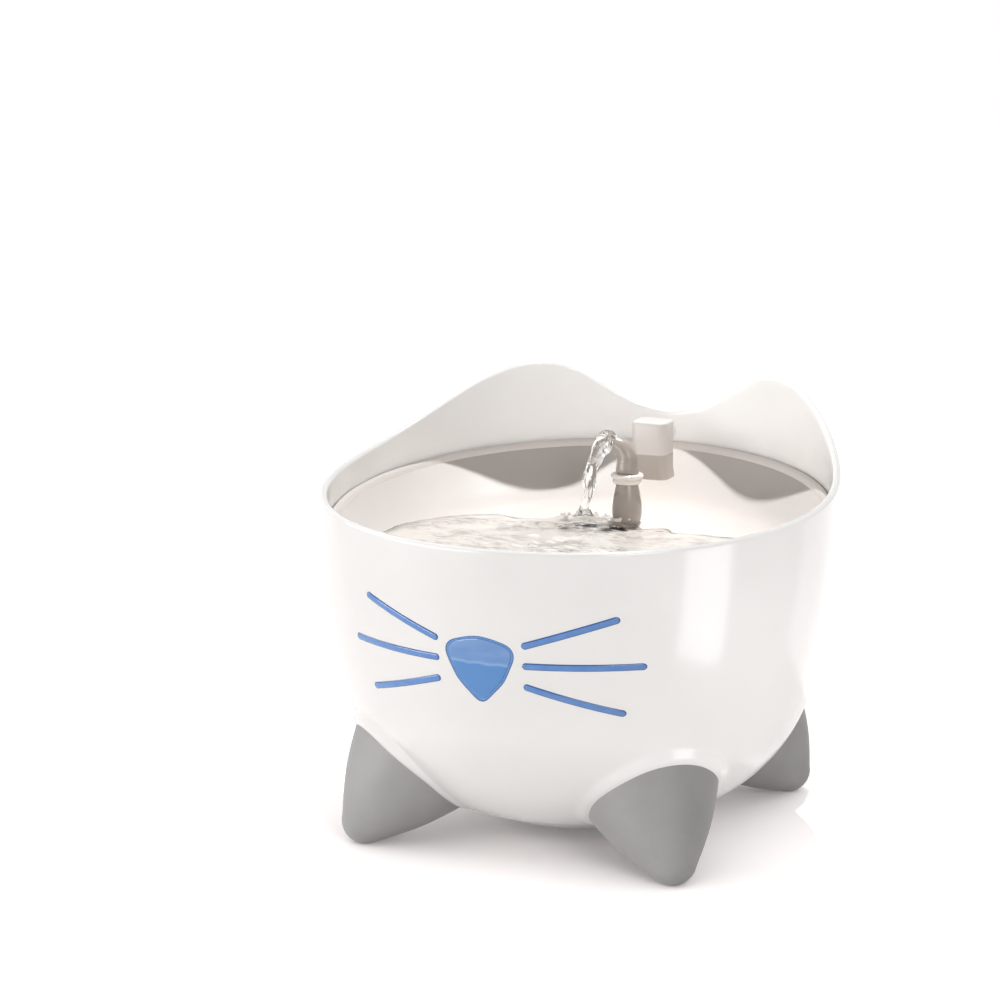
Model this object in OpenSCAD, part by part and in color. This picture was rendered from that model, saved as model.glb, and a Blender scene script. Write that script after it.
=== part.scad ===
// Pet water fountain: a bowl with ears on four feet, a drinking tray that tilts
// down to the front, a swivelling spout, a lift-out filter and a submerged pump.
// Origin: on the floor, on the bowl's axis. +Z up, the face looks along -Y.

/* [Bowl] */
// Outer radius at the rim
body_r = 110; // [107:0.5:118]
// Wall thickness of the bowl
wall = 3.2; // [2.8:0.1:3.6]
// Height of the flat underside above the floor
base_z = 5.5; // [4:0.5:8]
// Height where the side becomes upright
belly_z = 140; // [132:1:146]
// Bend radius of the tall side
side_bend = 305; // [270:5:360]
// Height where the side meets the round bottom
knee_z = 60; // [57:1:64]
// Bend radius of the round bottom
knee_bend = 68.6; // [67:0.1:71]
// Slope of the skirt around the flat underside, in degrees
base_slope = 21; // [18:1:23]

/* [Rim and ears] */
// Height of the rim at the front
rim_z = 141.4; // [139:0.2:146]
// Rise of the rim from front to rear, without the ears
rim_rise = 18.5; // [15:0.5:20]
// Height of the ears above the rim
ear_h = 23.9; // [15:0.1:32]
// Angle of the ears from the front, in degrees
ear_angle = 146; // [138:1:150]
// Angular spread of each ear towards the front, in degrees
ear_front_w = 26.5; // [20:0.5:32]
// Angular spread of each ear towards the rear, in degrees
ear_rear_w = 20.3; // [16:0.1:22]

/* [Feet] */
// Angle of the feet from the front and rear, in degrees
foot_angle = 45; // [40:1:50]
// Distance of a foot's root inside the bowl's radius
foot_inset = 32; // [30:0.5:34]
// Height of a foot's root
foot_root_z = 31; // [30:0.5:33]
// Lean of a foot from the vertical, in degrees
foot_lean = 42; // [38:1:46]
// Radius of a foot at its root
foot_root_w = 28; // [26:0.5:29]
// Radius of a foot's round tip
foot_tip_r = 10; // [8:0.5:11]
// Outward bulge of a foot's side
foot_bulge = 1.6; // [0:0.2:2.4]
// Depth of the small flat under each foot
foot_flat = 0.5; // [0.3:0.1:0.8]
// Height of the white collar around each foot
foot_collar_h = 2.6; // [2:0.2:4]
// How far the collar stands out around the foot
foot_collar_w = 1.4; // [1:0.2:2.4]
// How much farther out the rear feet stand
rear_foot_out = 4; // [0:0.5:5]
// Thickness of the rubber around the bowl's foot peg
boot_wall = 6; // [5:0.5:8]

/* [Level window and whiskers] */
// Height of the window's upper corners
nose_z = 98.4; // [96:0.2:100]
// Distance of the window's upper corners from the middle
nose_x = 9.8; // [8:0.2:11]
// Radius of the window's upper corners
nose_corner_r = 5; // [4:0.2:6]
// Height of the window's lower tip
nose_tip_z = 80.4; // [79:0.2:84]
// Radius of the window's lower tip
nose_tip_r = 2.8; // [2.4:0.2:3.6]
// Arch of the window's upper edge
nose_arch = 2.1; // [1:0.1:3]
// Width of the seal around the window
nose_seal_w = 1.2; // [1:0.1:1.6]
// Width of the whiskers
whisker_w = 2.7; // [2:0.1:3.4]
// Depth of the whiskers in the wall
whisker_depth = 1; // [0.8:0.1:1.4]
// How far the whiskers stand out
whisker_proud = 0.5; // [0.3:0.1:0.8]
// Distance of the whiskers' inner ends from the middle
whisker_in_x = 19.4; // [18:0.2:21]

/* [Tray] */
// Height of the tray's edge at the bowl's axis
tray_z = 136.1; // [134:0.1:137]
// Tilt of the tray down to the front, in degrees
tray_tilt = 5.8; // [4.5:0.1:6.2]
// Gap between the tray and the bowl
tray_gap = 0.4; // [0.3:0.1:0.6]
// Thickness of the tray
tray_t = 2.5; // [2:0.1:2.8]
// Width of the flat lip around the tray
tray_lip_w = 2.2; // [1.8:0.1:2.6]
// Depth of the dish
dish_depth = 23.1; // [21:0.1:25]
// Radius of the round corner between the dish's floor and side
dish_fillet = 12; // [10:0.5:14]
// Slope of the dish's side, in degrees
dish_slope = 58; // [54:1:62]
// Depth of the tray's skirt below its edge
skirt_h = 9; // [8:0.5:10]
// Thickness of the tray's skirt
skirt_t = 2; // [1.6:0.1:2.4]
// Width of the bowl's ledge that carries the tray
ledge_w = 4.2; // [3.5:0.1:4.6]
// Thickness of the ledge
ledge_t = 3; // [2.5:0.1:4]

/* [Filter] */
// Distance of the filter's middle inside the dish's edge
filter_inset = 44.2; // [42.2:0.2:48]
// Outer radius of the filter basket
basket_r = 26; // [24:0.5:27]
// Height of the basket's seat
basket_seat_z = 115.5; // [114.5:0.1:116]
// Depth of the basket below its seat
basket_depth = 31.5; // [28:0.5:34]
// Wall of the basket, its flange and the grate
basket_wall = 1.8; // [1.5:0.1:2]
// Width of the basket's flange beyond its wall
basket_flange_w = 3.2; // [2.8:0.1:3.6]
// Width of the slots in the grate and the basket
slot_w = 2.4; // [1.8:0.1:2.8]
// Number of slots in the grate
grate_slots = 12; // [8:1:14]
// Height of the filter's carbon media
media_h = 14; // [10:1:16]
// Height of the filter's foam
foam_h = 7; // [5:0.5:8]
// Height of the grate's ring inside the basket
grate_ring_h = 5; // [4:0.5:6]
// Radius of the grate's closed middle
grate_hub_r = 7; // [5:0.5:9]
// Width of the grate's closed rim
grate_rim_w = 3; // [2:0.5:4]

/* [Spout] */
// Distance of the spout's middle inside the bowl's inner wall
spout_inset = 49.8; // [46.8:0.2:50.8]
// Height of the spout's foot, on the dish
spout_z = 118; // [117:0.1:118.4]
// Height of the vase-shaped stem
stem_h = 18.2; // [16:0.2:20]
// Radius of the stem at its neck
stem_neck_r = 4.8; // [4.6:0.1:5.2]
// Swell of the stem
stem_swell = 1.5; // [0.8:0.1:2.2]
// Radius of the collar on the stem
collar_r = 7.2; // [6.8:0.1:8]
// Height of the collar
collar_h = 4.8; // [4:0.2:5.6]
// Outer radius of the bent nozzle
nozzle_r = 3.7; // [3.4:0.1:4]
// Bore radius of the spout
nozzle_bore_r = 2.4; // [2:0.1:2.6]
// Height of the nozzle's straight part
nozzle_h = 5.2; // [4:0.2:7]
// Bend radius of the nozzle
nozzle_bend = 7.5; // [6.5:0.1:9]
// Angle of the nozzle's bend, in degrees
nozzle_angle = 78; // [60:1:90]
// Length of the mouth beyond the bend
mouth_len = 1.4; // [1:0.1:3]
// Radius of the tray's spout socket
socket_bore_r = 5; // [4.8:0.1:5.4]
// Wall of the tray's spout socket
socket_wall = 3; // [2.5:0.1:4]

/* [Lead cover] */
// Width and depth of the lead cover
hood_w = 14; // [12:0.5:16]
// Corner radius of the lead cover
hood_corner_r = 4; // [3:0.5:5]
// Height of the lead cover's underside
hood_z = 131; // [129:0.5:133]
// Height of the split between the cover's base and cap
hood_split_z = 144.6; // [143:0.2:146]
// Height of the cap's top
hood_top_z = 157; // [155:0.5:159]
// Gap between the lead cover and the bowl's wall
hood_gap = 3.8; // [3.6:0.1:5]
// Wall of the lead cover
hood_wall = 1.8; // [1.5:0.1:2.2]
// Radius of the lead's way out
lead_r = 2.4; // [2:0.1:2.8]

/* [Pump] */
// Height of the pump's seat in the bowl
pump_seat_z = 27; // [26:0.5:29]
// Width of the seat around the pump
pedestal_margin = 6; // [4:0.5:8]
// Height of the suction cups
cup_h = 4; // [3:0.5:5]
// Width of the pump
pump_w = 36; // [35:0.5:38]
// Height of the pump
pump_h = 34; // [33:0.5:36]
// Corner radius of the pump
pump_corner_r = 5; // [3:0.5:6]
// Length of the pump's motor part
motor_len = 29; // [28:0.5:31]
// Length of the pump's chamber part
chamber_len = 11; // [10:0.5:12]
// Radius of the pump's chamber
chamber_r = 13.6; // [12.5:0.1:14]
// Radius of the rotor's bore
can_r = 6.6; // [6.2:0.1:7]
// Wall of the rotor's can
can_wall = 1.6; // [1.3:0.1:1.8]
// Wall of the pump's housing
pump_wall = 2.6; // [2.2:0.1:3]
// Thickness of the pump's cover
cover_t = 3; // [2.6:0.1:3.5]
// Radius of the pump's shaft
shaft_r = 1; // [0.8:0.1:1.3]
// Number of vanes on the impeller
vane_count = 6; // [4:1:8]
// Radius of the pump's outlet
outlet_r = 5; // [4.6:0.1:5.4]
// Length of the pump's outlet above its housing
outlet_len = 11; // [9:0.5:13]
// Wall of the riser around the outlet
riser_wall = 2.2; // [1.8:0.1:2.6]

/* [Hidden] */
// Radial clearance of a running fit
fit = 0.08;
// Gap between separate pieces that don't turn in each other
gap = 0.3;
// Overlap that keeps cuts clean
eps = 0.01;
// Angle between the points of the bowl's outline
arc_step = 5;
// Angle between the points along the rim
rim_step = 5;

shell_white = [0.95, 0.95, 0.95];
tray_white = [0.90, 0.88, 0.86];
foot_grey = [0.62, 0.62, 0.62];
motif_blue = [0.34, 0.55, 0.87];
warm_grey = [0.72, 0.68, 0.65];
dark_grey = [0.25, 0.25, 0.27];
steel = [0.75, 0.75, 0.78];
copper = [0.80, 0.45, 0.25];

$fn = 72;

// Bowl outline, worked out from its two bends and the straight skirt
side_turn = asin((belly_z - knee_z) / side_bend);
side_cx = body_r - side_bend;
knee_r = side_cx + side_bend * cos(side_turn);
knee_cx = knee_r - knee_bend * cos(side_turn);
knee_cz = knee_z + knee_bend * sin(side_turn);
knee_turn = 90 - base_slope;
top_z = rim_z + rim_rise + ear_h + 4;
inner_r = body_r - wall;

// Tray
tray_r = inner_r - tray_gap;
dish_r = tray_r - tray_lip_w;
foot_root_r = body_r - foot_inset;
filter_y = dish_r - filter_inset;
spout_y = inner_r - spout_inset;
hood_y = inner_r - hood_gap - hood_w / 2;

// Filter
basket_in_r = basket_r - basket_wall;
basket_floor_z = basket_seat_z - basket_depth;
flange_r = basket_r + basket_flange_w;
grate_z = basket_seat_z + basket_wall + gap;
cartridge_r = basket_in_r - gap;
cartridge_z = basket_floor_z + basket_wall + gap;
cartridge_wall = 1.5;
cartridge_top_z = cartridge_z + cartridge_wall + media_h + foam_h;

// Spout
stem_top_z = spout_z + stem_h;
collar_top_z = stem_top_z + collar_h;
spigot_r = socket_bore_r - fit;
spigot_len = 10;
socket_len = 14;
socket_z = spout_z - socket_len;
swivel_r = nozzle_r + 0.3;
swivel_depth = 12;
seal_w = 1.2;

// Pump
pump_z = pump_seat_z + cup_h;
pump_axis_z = pump_z + pump_h / 2;
chamber_y1 = spout_y + chamber_len / 2;
chamber_y0 = chamber_y1 - chamber_len;
motor_y0 = chamber_y0 - motor_len;
can_y0 = motor_y0 + pump_wall + 3;
cover_y1 = chamber_y1 + cover_t;
outlet_top_z = pump_z + pump_h + outlet_len;
outlet_bore_r = outlet_r - 1.6;
riser_r = outlet_r + fit + riser_wall;
riser_neck_z = socket_z - gap;
riser_top_z = spout_z - spigot_len - gap;
pedestal_w = pump_w + 2 * pedestal_margin;

// Window and whiskers
window_front_y = body_r + 5;
// Height of a whisker's inner end, its outer distance and height
WHISKERS = [
    [103.0, 53.6, 114.2],
    [94.4, 62.0, 94.4],
    [85.4, 53.8, 74.6]
];

// ---- Shared shapes ----

// Points of the bowl's outline from the flat underside up, moved inwards
function bowl_side(inset) =
    let (
        skirt_top = [
            knee_cx + (knee_bend - inset) * cos(knee_turn),
            knee_cz - (knee_bend - inset) * sin(knee_turn)
        ],
        skirt_run = (skirt_top[1] - base_z - inset) / cos(knee_turn)
    )
    concat(
        [[skirt_top[0] - skirt_run * sin(knee_turn), base_z + inset]],
        [for (a = [knee_turn : -arc_step : side_turn])
            [knee_cx + (knee_bend - inset) * cos(a), knee_cz - (knee_bend - inset) * sin(a)]],
        [for (a = [side_turn : -arc_step / 2 : 0])
            [side_cx + (side_bend - inset) * cos(a), belly_z - (side_bend - inset) * sin(a)]],
        [[body_r - inset, belly_z]]
    );

// The bowl's filled form up to a height, moved inwards
module bowl_form(inset, height = top_z) {
    side = bowl_side(inset);
    rotate_extrude()
        polygon(concat([[0, side[0][1]]], side, [[body_r - inset, height], [0, height]]));
}

// A layer of the bowl's wall between two depths
module bowl_layer(outer_inset, inner_inset) {
    difference() {
        bowl_form(outer_inset);
        bowl_form(inner_inset, top_z + 1);
    }
}

// Height of the rim at an angle from the front
function rim_height(a) =
    let (
        turn = min(a, 360 - a),
        spread = turn < ear_angle ? ear_front_w : ear_rear_w,
        sharpness = turn < ear_angle ? 1.9 : 2.6,
        ear = ear_h * exp(-pow(abs(turn - ear_angle) / spread, sharpness))
    )
    rim_z + rim_rise * pow((1 - cos(turn)) / 2, 1.5) + ear;

// Everything above the rim, as a ring around the wall
module above_rim() {
    count = 360 / rim_step;
    reach = 14;
    ring = [for (i = [0 : count - 1]) let (a = i * rim_step, z = rim_height(a)) [
        [(body_r - reach) * sin(a), -(body_r - reach) * cos(a), z],
        [(body_r + reach) * sin(a), -(body_r + reach) * cos(a), z],
        [(body_r + reach) * sin(a), -(body_r + reach) * cos(a), top_z + reach],
        [(body_r - reach) * sin(a), -(body_r - reach) * cos(a), top_z + reach]
    ]];
    points = [for (section = ring) each section];
    faces = [for (i = [0 : count - 1], k = [0 : 3], half = [0, 1])
        let (
            a = 4 * i + k,
            b = 4 * i + (k + 1) % 4,
            c = (4 * (i + 1) + (k + 1) % 4) % (4 * count),
            d = (4 * (i + 1) + k) % (4 * count)
        )
        half == 0 ? [a, b, c] : [a, c, d]];
    polyhedron(points, faces);
}

// A square with round corners, about the origin
module round_square(w, h, r) {
    square([w - 2 * r, h], center = true);
    square([w, h - 2 * r], center = true);
    for (x = [-1, 1], y = [-1, 1])
        translate([x * (w / 2 - r), y * (h / 2 - r)]) circle(r);
}

// A cylinder along +Y
module rod_y(r, y0, y1) {
    translate([0, y0, pump_axis_z]) rotate([-90, 0, 0]) cylinder(r = r, h = y1 - y0);
}

// An outline in X and Z, extruded from the bowl's axis to the front
module face_prism() {
    rotate([90, 0, 0]) linear_extrude(window_front_y) children();
}

module at_tray() {
    translate([0, 0, tray_z]) rotate([tray_tilt, 0, 0]) children();
}

module at_spout() {
    translate([0, spout_y, 0]) children();
}

module at_filter() {
    translate([0, -filter_y, 0]) children();
}

// ---- Feet ----

foot_tip_s = (foot_root_z - foot_tip_r + foot_flat) / cos(foot_lean);
foot_side_slope = asin((foot_root_w - foot_tip_r) / norm([foot_tip_s, foot_root_w]));
foot_side_end = foot_tip_s + foot_tip_r * sin(foot_side_slope);
foot_side_end_r = foot_tip_r * cos(foot_side_slope);
foot_peg_gap = 4;
foot_peg_z = foot_tip_r + foot_peg_gap;

// Half outline of a foot, pulled in by an inset
function foot_outline(inset) =
    let (back = 24, steps = 8)
    concat(
        [[0, -back], [foot_root_w + back * sin(foot_side_slope) - inset, -back]],
        [for (i = [0 : steps]) let (t = i / steps)
            [foot_root_w + (foot_side_end_r - foot_root_w) * t + foot_bulge * sin(180 * t) - inset,
             foot_side_end * t]],
        [for (a = [90 - foot_side_slope - 10 : -10 : 5])
            [(foot_tip_r - inset) * sin(a), foot_tip_s + (foot_tip_r - inset) * cos(a)]],
        [[0, foot_tip_s + foot_tip_r - inset]]
    );

module foot_form(inset, out) {
    translate([0, -foot_root_r - out, foot_root_z])
        rotate([180 - foot_lean, 0, 0])
            rotate_extrude() polygon(foot_outline(inset));
}

// The peg on the bowl that a boot is pushed over
module foot_peg(out) {
    intersection() {
        foot_form(boot_wall, out);
        translate([0, 0, foot_peg_z]) cylinder(r = body_r, h = foot_root_z);
    }
}

module foot(turn, out) {
    color(foot_grey) rotate([0, 0, turn]) difference() {
        foot_form(0, out);
        bowl_form(-foot_collar_h);
        foot_peg(out);
        translate([0, 0, -body_r]) cylinder(r = 2 * body_r, h = body_r);
    }
}

// ---- Bowl ----

module reservoir_shell() {
    color(shell_white) difference() {
        union() {
            difference() {
                union() {
                    bowl_form(0);
                    for (side = [-1, 1]) {
                        rotate([0, 0, side * foot_angle]) foot_mount(0);
                        rotate([0, 0, 180 + side * foot_angle]) foot_mount(rear_foot_out);
                    }
                }
                bowl_form(wall, top_z + 1);
            }
            tray_ledge();
            pump_pedestal();
        }
        above_rim();
        face_prism() nose_outline(0);
        for (side = [-1, 1], w = WHISKERS) whisker_cut(side, w);
        grommet_seat();
    }
}

// The collar and the peg that carry a foot
module foot_mount(out) {
    intersection() {
        foot_form(-foot_collar_w, out);
        bowl_form(-foot_collar_h);
    }
    foot_peg(out);
}

// Tilted ring in the bowl that carries the tray's skirt
module tray_ledge() {
    intersection() {
        at_tray() translate([0, 0, -skirt_h - ledge_t]) cylinder(r = 1.2 * body_r, h = ledge_t);
        difference() {
            cylinder(r = inner_r + wall / 2, h = top_z);
            translate([0, 0, -1]) cylinder(r = inner_r - ledge_w, h = top_z + 2);
        }
    }
}

// Raised seat on the bowl's floor under the pump
module pump_pedestal() {
    intersection() {
        bowl_form(wall / 2);
        translate([-pedestal_w / 2, motor_y0 - pedestal_margin, 0])
            cube([pedestal_w, cover_y1 - motor_y0 + 1.5 * pedestal_margin, pump_seat_z]);
    }
}

module foot_front_left() { foot(-foot_angle, 0); }
module foot_front_right() { foot(foot_angle, 0); }
module foot_rear_left() { foot(180 + foot_angle, rear_foot_out); }
module foot_rear_right() { foot(180 - foot_angle, rear_foot_out); }

// ---- Level window ----

// Rounded triangle with its tip down
module nose_outline(grow) {
    cheek_in = 1.4;
    cheek_drop = 0.6;
    side_x = nose_x - cheek_in;
    hull() {
        for (side = [-1, 1]) {
            translate([side * nose_x, nose_z]) circle(nose_corner_r + grow, $fn = 32);
            translate([side * side_x, (nose_z + nose_tip_z) / 2 - cheek_drop])
                circle(nose_tip_r - cheek_drop + grow, $fn = 32);
        }
        translate([0, nose_tip_z]) circle(nose_tip_r + grow, $fn = 32);
        translate([0, nose_z + nose_corner_r + nose_arch - nose_tip_r])
            circle(nose_tip_r + grow, $fn = 32);
    }
}

module nose_window() {
    color(motif_blue, 0.8) intersection() {
        bowl_layer(0, wall);
        face_prism() nose_outline(-nose_seal_w);
    }
}

module nose_gasket() {
    color(dark_grey) difference() {
        intersection() {
            bowl_layer(0.2, wall);
            face_prism() nose_outline(0);
        }
        face_prism() nose_outline(-nose_seal_w);
    }
}

module nose_retainer() {
    color(shell_white) difference() {
        intersection() {
            bowl_layer(wall, wall + 2.4);
            face_prism() nose_outline(3.4);
        }
        face_prism() nose_outline(-nose_seal_w - 1);
    }
}

// ---- Whiskers ----

// Bar with round ends from a whisker's inner end to its outer end
module whisker_bar(side, w) {
    run = [w[1] - whisker_in_x, w[2] - w[0]];
    face_prism()
        translate([side * whisker_in_x, w[0]])
            rotate(side > 0 ? atan2(run[1], run[0]) : 180 - atan2(run[1], run[0])) {
                circle(whisker_w / 2);
                translate([0, -whisker_w / 2]) square([norm(run), whisker_w]);
                translate([norm(run), 0]) circle(whisker_w / 2);
            }
}

module whisker_cut(side, w) {
    difference() {
        whisker_bar(side, w);
        bowl_form(whisker_depth);
    }
}

module whisker(side, w) {
    color(motif_blue) intersection() {
        bowl_layer(-whisker_proud, whisker_depth);
        whisker_bar(side, w);
    }
}

module whisker_upper_left() { whisker(-1, WHISKERS[0]); }
module whisker_middle_left() { whisker(-1, WHISKERS[1]); }
module whisker_lower_left() { whisker(-1, WHISKERS[2]); }
module whisker_upper_right() { whisker(1, WHISKERS[0]); }
module whisker_middle_right() { whisker(1, WHISKERS[1]); }
module whisker_lower_right() { whisker(1, WHISKERS[2]); }

// ---- Rear wall ----

grommet_z = (hood_split_z + hood_top_z) / 2 + 0.2;
grommet_r = lead_r + 1.8;
grommet_flange_r = grommet_r + 1.6;
grommet_flange_t = 1.2;
grommet_sunk = 0.2;
grommet_out_y = body_r - grommet_sunk;
grommet_in_y = inner_r - grommet_sunk;

module at_grommet() {
    translate([0, 0, grommet_z]) rotate([-90, 0, 0]) children();
}

// Hole in the rear wall, with a recess for the grommet's flange
module grommet_seat() {
    at_grommet() {
        cylinder(r = grommet_r, h = 2 * body_r);
        translate([0, 0, grommet_out_y - grommet_flange_t]) cylinder(r = grommet_flange_r, h = body_r);
    }
}

module cable_grommet() {
    color(dark_grey) at_grommet() difference() {
        union() {
            translate([0, 0, grommet_in_y]) cylinder(r = grommet_r, h = grommet_out_y - grommet_in_y);
            translate([0, 0, grommet_out_y - grommet_flange_t])
                cylinder(r = grommet_flange_r, h = grommet_flange_t);
        }
        cylinder(r = lead_r, h = 2 * body_r);
    }
}

// ---- Tray ----

// Upper surface of the dish from its middle out, sunk by a depth
function dish_line(sink) =
    let (
        wall_run = dish_depth / tan(dish_slope),
        corner_r = dish_r - wall_run,
        tangent = dish_fillet * tan(dish_slope / 2),
        cx = corner_r - tangent,
        cz = -dish_depth + dish_fillet
    )
    concat(
        [[0, -dish_depth - sink]],
        [for (a = [0 : dish_slope / 8 : dish_slope])
            [cx + (dish_fillet + sink) * sin(a), cz - (dish_fillet + sink) * cos(a)]],
        [[dish_r + sink / sin(dish_slope), 0]]
    );

// Everything above the dish's surface, sunk by a depth
module dish_space(sink, height) {
    line = dish_line(sink);
    end = line[len(line) - 1];
    rotate_extrude($fn = 120) polygon(concat(line, [[end[0], height], [0, height]]));
}

module drinking_tray() {
    color(tray_white) difference() {
        union() {
            intersection() {
                bowl_form(wall + tray_gap);
                at_tray() difference() {
                    tray_blank();
                    dish_space(0, top_z);
                }
            }
            intersection() {
                at_filter() cylinder(r = flange_r, h = basket_seat_z);
                at_tray() translate([0, 0, -dish_depth - 2 * tray_t]) cylinder(r = body_r, h = top_z);
            }
            difference() {
                at_spout() translate([0, 0, socket_z])
                    cylinder(r = socket_bore_r + socket_wall, h = spout_z - socket_z + 4);
                at_tray() dish_space(0, top_z);
            }
        }
        at_filter() translate([0, 0, basket_floor_z]) cylinder(r = basket_r + gap, h = top_z);
        at_spout() translate([0, 0, socket_z - 1]) cylinder(r = socket_bore_r, h = top_z);
        lead_slot(hood_y + lead_r + 0.6);
    }
}

// The tray's dish, lip and skirt before its inside is cut out
module tray_blank() {
    intersection() {
        union() {
            dish_space(tray_t, 0);
            difference() {
                translate([0, 0, -skirt_h]) cylinder(r = 1.2 * body_r, h = skirt_h);
                translate([0, 0, -skirt_h - 1])
                    cylinder(r = tray_r - skirt_t, h = skirt_h + 1 - tray_t);
            }
        }
        translate([0, 0, -2 * dish_depth]) cylinder(r = 1.2 * body_r, h = 2 * dish_depth);
    }
}

// Slot for the lead, from a distance behind the bowl's axis to the rear of the lead cover
module lead_slot(start_y) {
    translate([-lead_r, start_y, tray_z - dish_depth])
        cube([2 * lead_r, hood_y + hood_w / 2 - start_y, hood_top_z - tray_z]);
}

// ---- Lead cover ----

module hood_block(z0, z1, inset) {
    translate([0, hood_y, z0]) linear_extrude(z1 - z0)
        round_square(hood_w - 2 * inset, hood_w - 2 * inset, hood_corner_r - inset);
}

module rear_hood_base() {
    color(warm_grey) intersection() {
        difference() {
            hood_block(hood_z, hood_split_z, 0);
            hood_block(hood_z + hood_wall, hood_split_z + 1, hood_wall);
            lead_slot(hood_y);
        }
        at_tray() dish_space(0, top_z);
    }
}

module rear_hood_cap() {
    color(warm_grey) difference() {
        hood_block(hood_split_z, hood_top_z, 0);
        hood_block(hood_split_z - 1, hood_top_z - hood_wall, hood_wall);
        translate([0, hood_y, grommet_z]) rotate([-90, 0, 0]) cylinder(r = lead_r + gap, h = hood_w);
    }
}

// ---- Filter ----

// Slots in the shape of a star, between two radii
module star_slots(count, r0, r1, z0, z1) {
    for (i = [0 : count - 1])
        rotate([0, 0, (i + 0.5) * 360 / count]) translate([r0, -slot_w / 2, z0]) cube([r1 - r0, slot_w, z1 - z0]);
}

module filter_basket() {
    color(warm_grey) at_filter() difference() {
        union() {
            translate([0, 0, basket_floor_z]) cylinder(r = basket_r, h = basket_depth);
            translate([0, 0, basket_seat_z]) cylinder(r = flange_r, h = basket_wall);
        }
        translate([0, 0, basket_floor_z + basket_wall]) cylinder(r = basket_in_r, h = basket_depth + 10);
        star_slots(8, 5, basket_in_r - 3, basket_floor_z - 1, basket_floor_z + basket_wall + 1);
    }
}

module filter_frame() {
    color(shell_white) at_filter() difference() {
        translate([0, 0, cartridge_z]) cylinder(r = cartridge_r, h = cartridge_top_z - cartridge_z);
        translate([0, 0, cartridge_z + cartridge_wall])
            cylinder(r = cartridge_r - cartridge_wall, h = media_h + foam_h + 1);
        star_slots(8, 4, cartridge_r - 4, cartridge_z - 1, cartridge_z + cartridge_wall + 1);
    }
}

module filter_media() {
    color(dark_grey) at_filter() translate([0, 0, cartridge_z + cartridge_wall])
        cylinder(r = cartridge_r - cartridge_wall, h = media_h);
}

module filter_foam() {
    color(warm_grey) at_filter() translate([0, 0, cartridge_z + cartridge_wall + media_h])
        cylinder(r = cartridge_r - cartridge_wall, h = foam_h);
}

module drain_grate() {
    color(tray_white) at_filter() difference() {
        union() {
            translate([0, 0, grate_z]) cylinder(r = flange_r, h = basket_wall);
            translate([0, 0, grate_z - grate_ring_h]) difference() {
                cylinder(r = basket_in_r - gap, h = grate_ring_h + eps);
                translate([0, 0, -1]) cylinder(r = basket_in_r - gap - cartridge_wall, h = grate_ring_h + 2);
            }
        }
        star_slots(grate_slots, grate_hub_r, basket_in_r - grate_rim_w, grate_z - 1, grate_z + basket_wall + 1);
    }
}

// ---- Spout ----

module spout_base() {
    steps = 12;
    vase = [for (i = [0 : steps]) let (t = i / steps)
        [stem_neck_r + stem_swell * sin(180 * pow(t, 0.7)) + 0.4 * (1 - t), spout_z + gap + (stem_h - gap) * t]];
    color(warm_grey) at_spout() difference() {
        union() {
            intersection() {
                rotate_extrude() polygon(concat([[0, spout_z + gap]], vase, [[0, stem_top_z]]));
                translate([0, -spout_y, 0]) at_tray() translate([0, 0, gap]) dish_space(0, top_z);
            }
            translate([0, 0, spout_z - spigot_len]) cylinder(r = spigot_r, h = spigot_len + 3);
        }
        translate([0, 0, spout_z - spigot_len - 1]) cylinder(r = nozzle_bore_r, h = stem_h + spigot_len + 2);
        translate([0, 0, collar_top_z - swivel_depth]) cylinder(r = swivel_r, h = swivel_depth);
    }
}

module spout_collar() {
    edge = collar_h / 2;
    color(tray_white) at_spout() difference() {
        union() {
            rotate_extrude() translate([collar_r - edge, stem_top_z + edge]) circle(edge);
            translate([0, 0, stem_top_z]) cylinder(r = collar_r - edge, h = collar_h);
        }
        translate([0, 0, stem_top_z - 1]) cylinder(r = swivel_r, h = collar_h + 2);
    }
}

// The nozzle's bend and what follows it, towards the left of the bowl
module nozzle_bend_path(r) {
    translate([0, 0, collar_top_z + gap + nozzle_h]) rotate([90, 0, 0])
        translate([-nozzle_bend, 0, 0]) rotate_extrude(angle = nozzle_angle)
            translate([nozzle_bend, 0]) circle(r);
    translate([-nozzle_bend, 0, collar_top_z + gap + nozzle_h])
        rotate([0, -nozzle_angle, 0]) translate([nozzle_bend, 0, 0]) children();
}

module spout_nozzle() {
    foot_r = 5.4;
    edge = 0.2;
    color(warm_grey) at_spout() difference() {
        union() {
            nozzle_bend_path(nozzle_r) cylinder(r = nozzle_r + edge, h = mouth_len);
            translate([0, 0, collar_top_z + gap]) cylinder(r1 = foot_r, r2 = nozzle_r + edge, h = nozzle_h);
            translate([0, 0, collar_top_z - swivel_depth + gap])
                cylinder(r = swivel_r - fit, h = swivel_depth + eps);
        }
        nozzle_bend_path(nozzle_bore_r - edge)
            translate([0, 0, -edge]) cylinder(r = nozzle_bore_r, h = mouth_len + 1);
        translate([0, 0, collar_top_z - swivel_depth])
            cylinder(r = nozzle_bore_r, h = swivel_depth + gap + nozzle_h + edge);
        seal_groove();
    }
}

// Groove around the nozzle's swivel for its seal
module seal_groove() {
    translate([0, 0, collar_top_z - swivel_depth + 3]) difference() {
        cylinder(r = swivel_r + 1, h = seal_w);
        translate([0, 0, -1]) cylinder(r = swivel_r - 0.8, h = seal_w + 2);
    }
}

module spout_seal() {
    color(dark_grey) at_spout() intersection() {
        seal_groove();
        cylinder(r = swivel_r - fit / 2, h = top_z);
    }
}

// ---- Riser and pump ----

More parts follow.
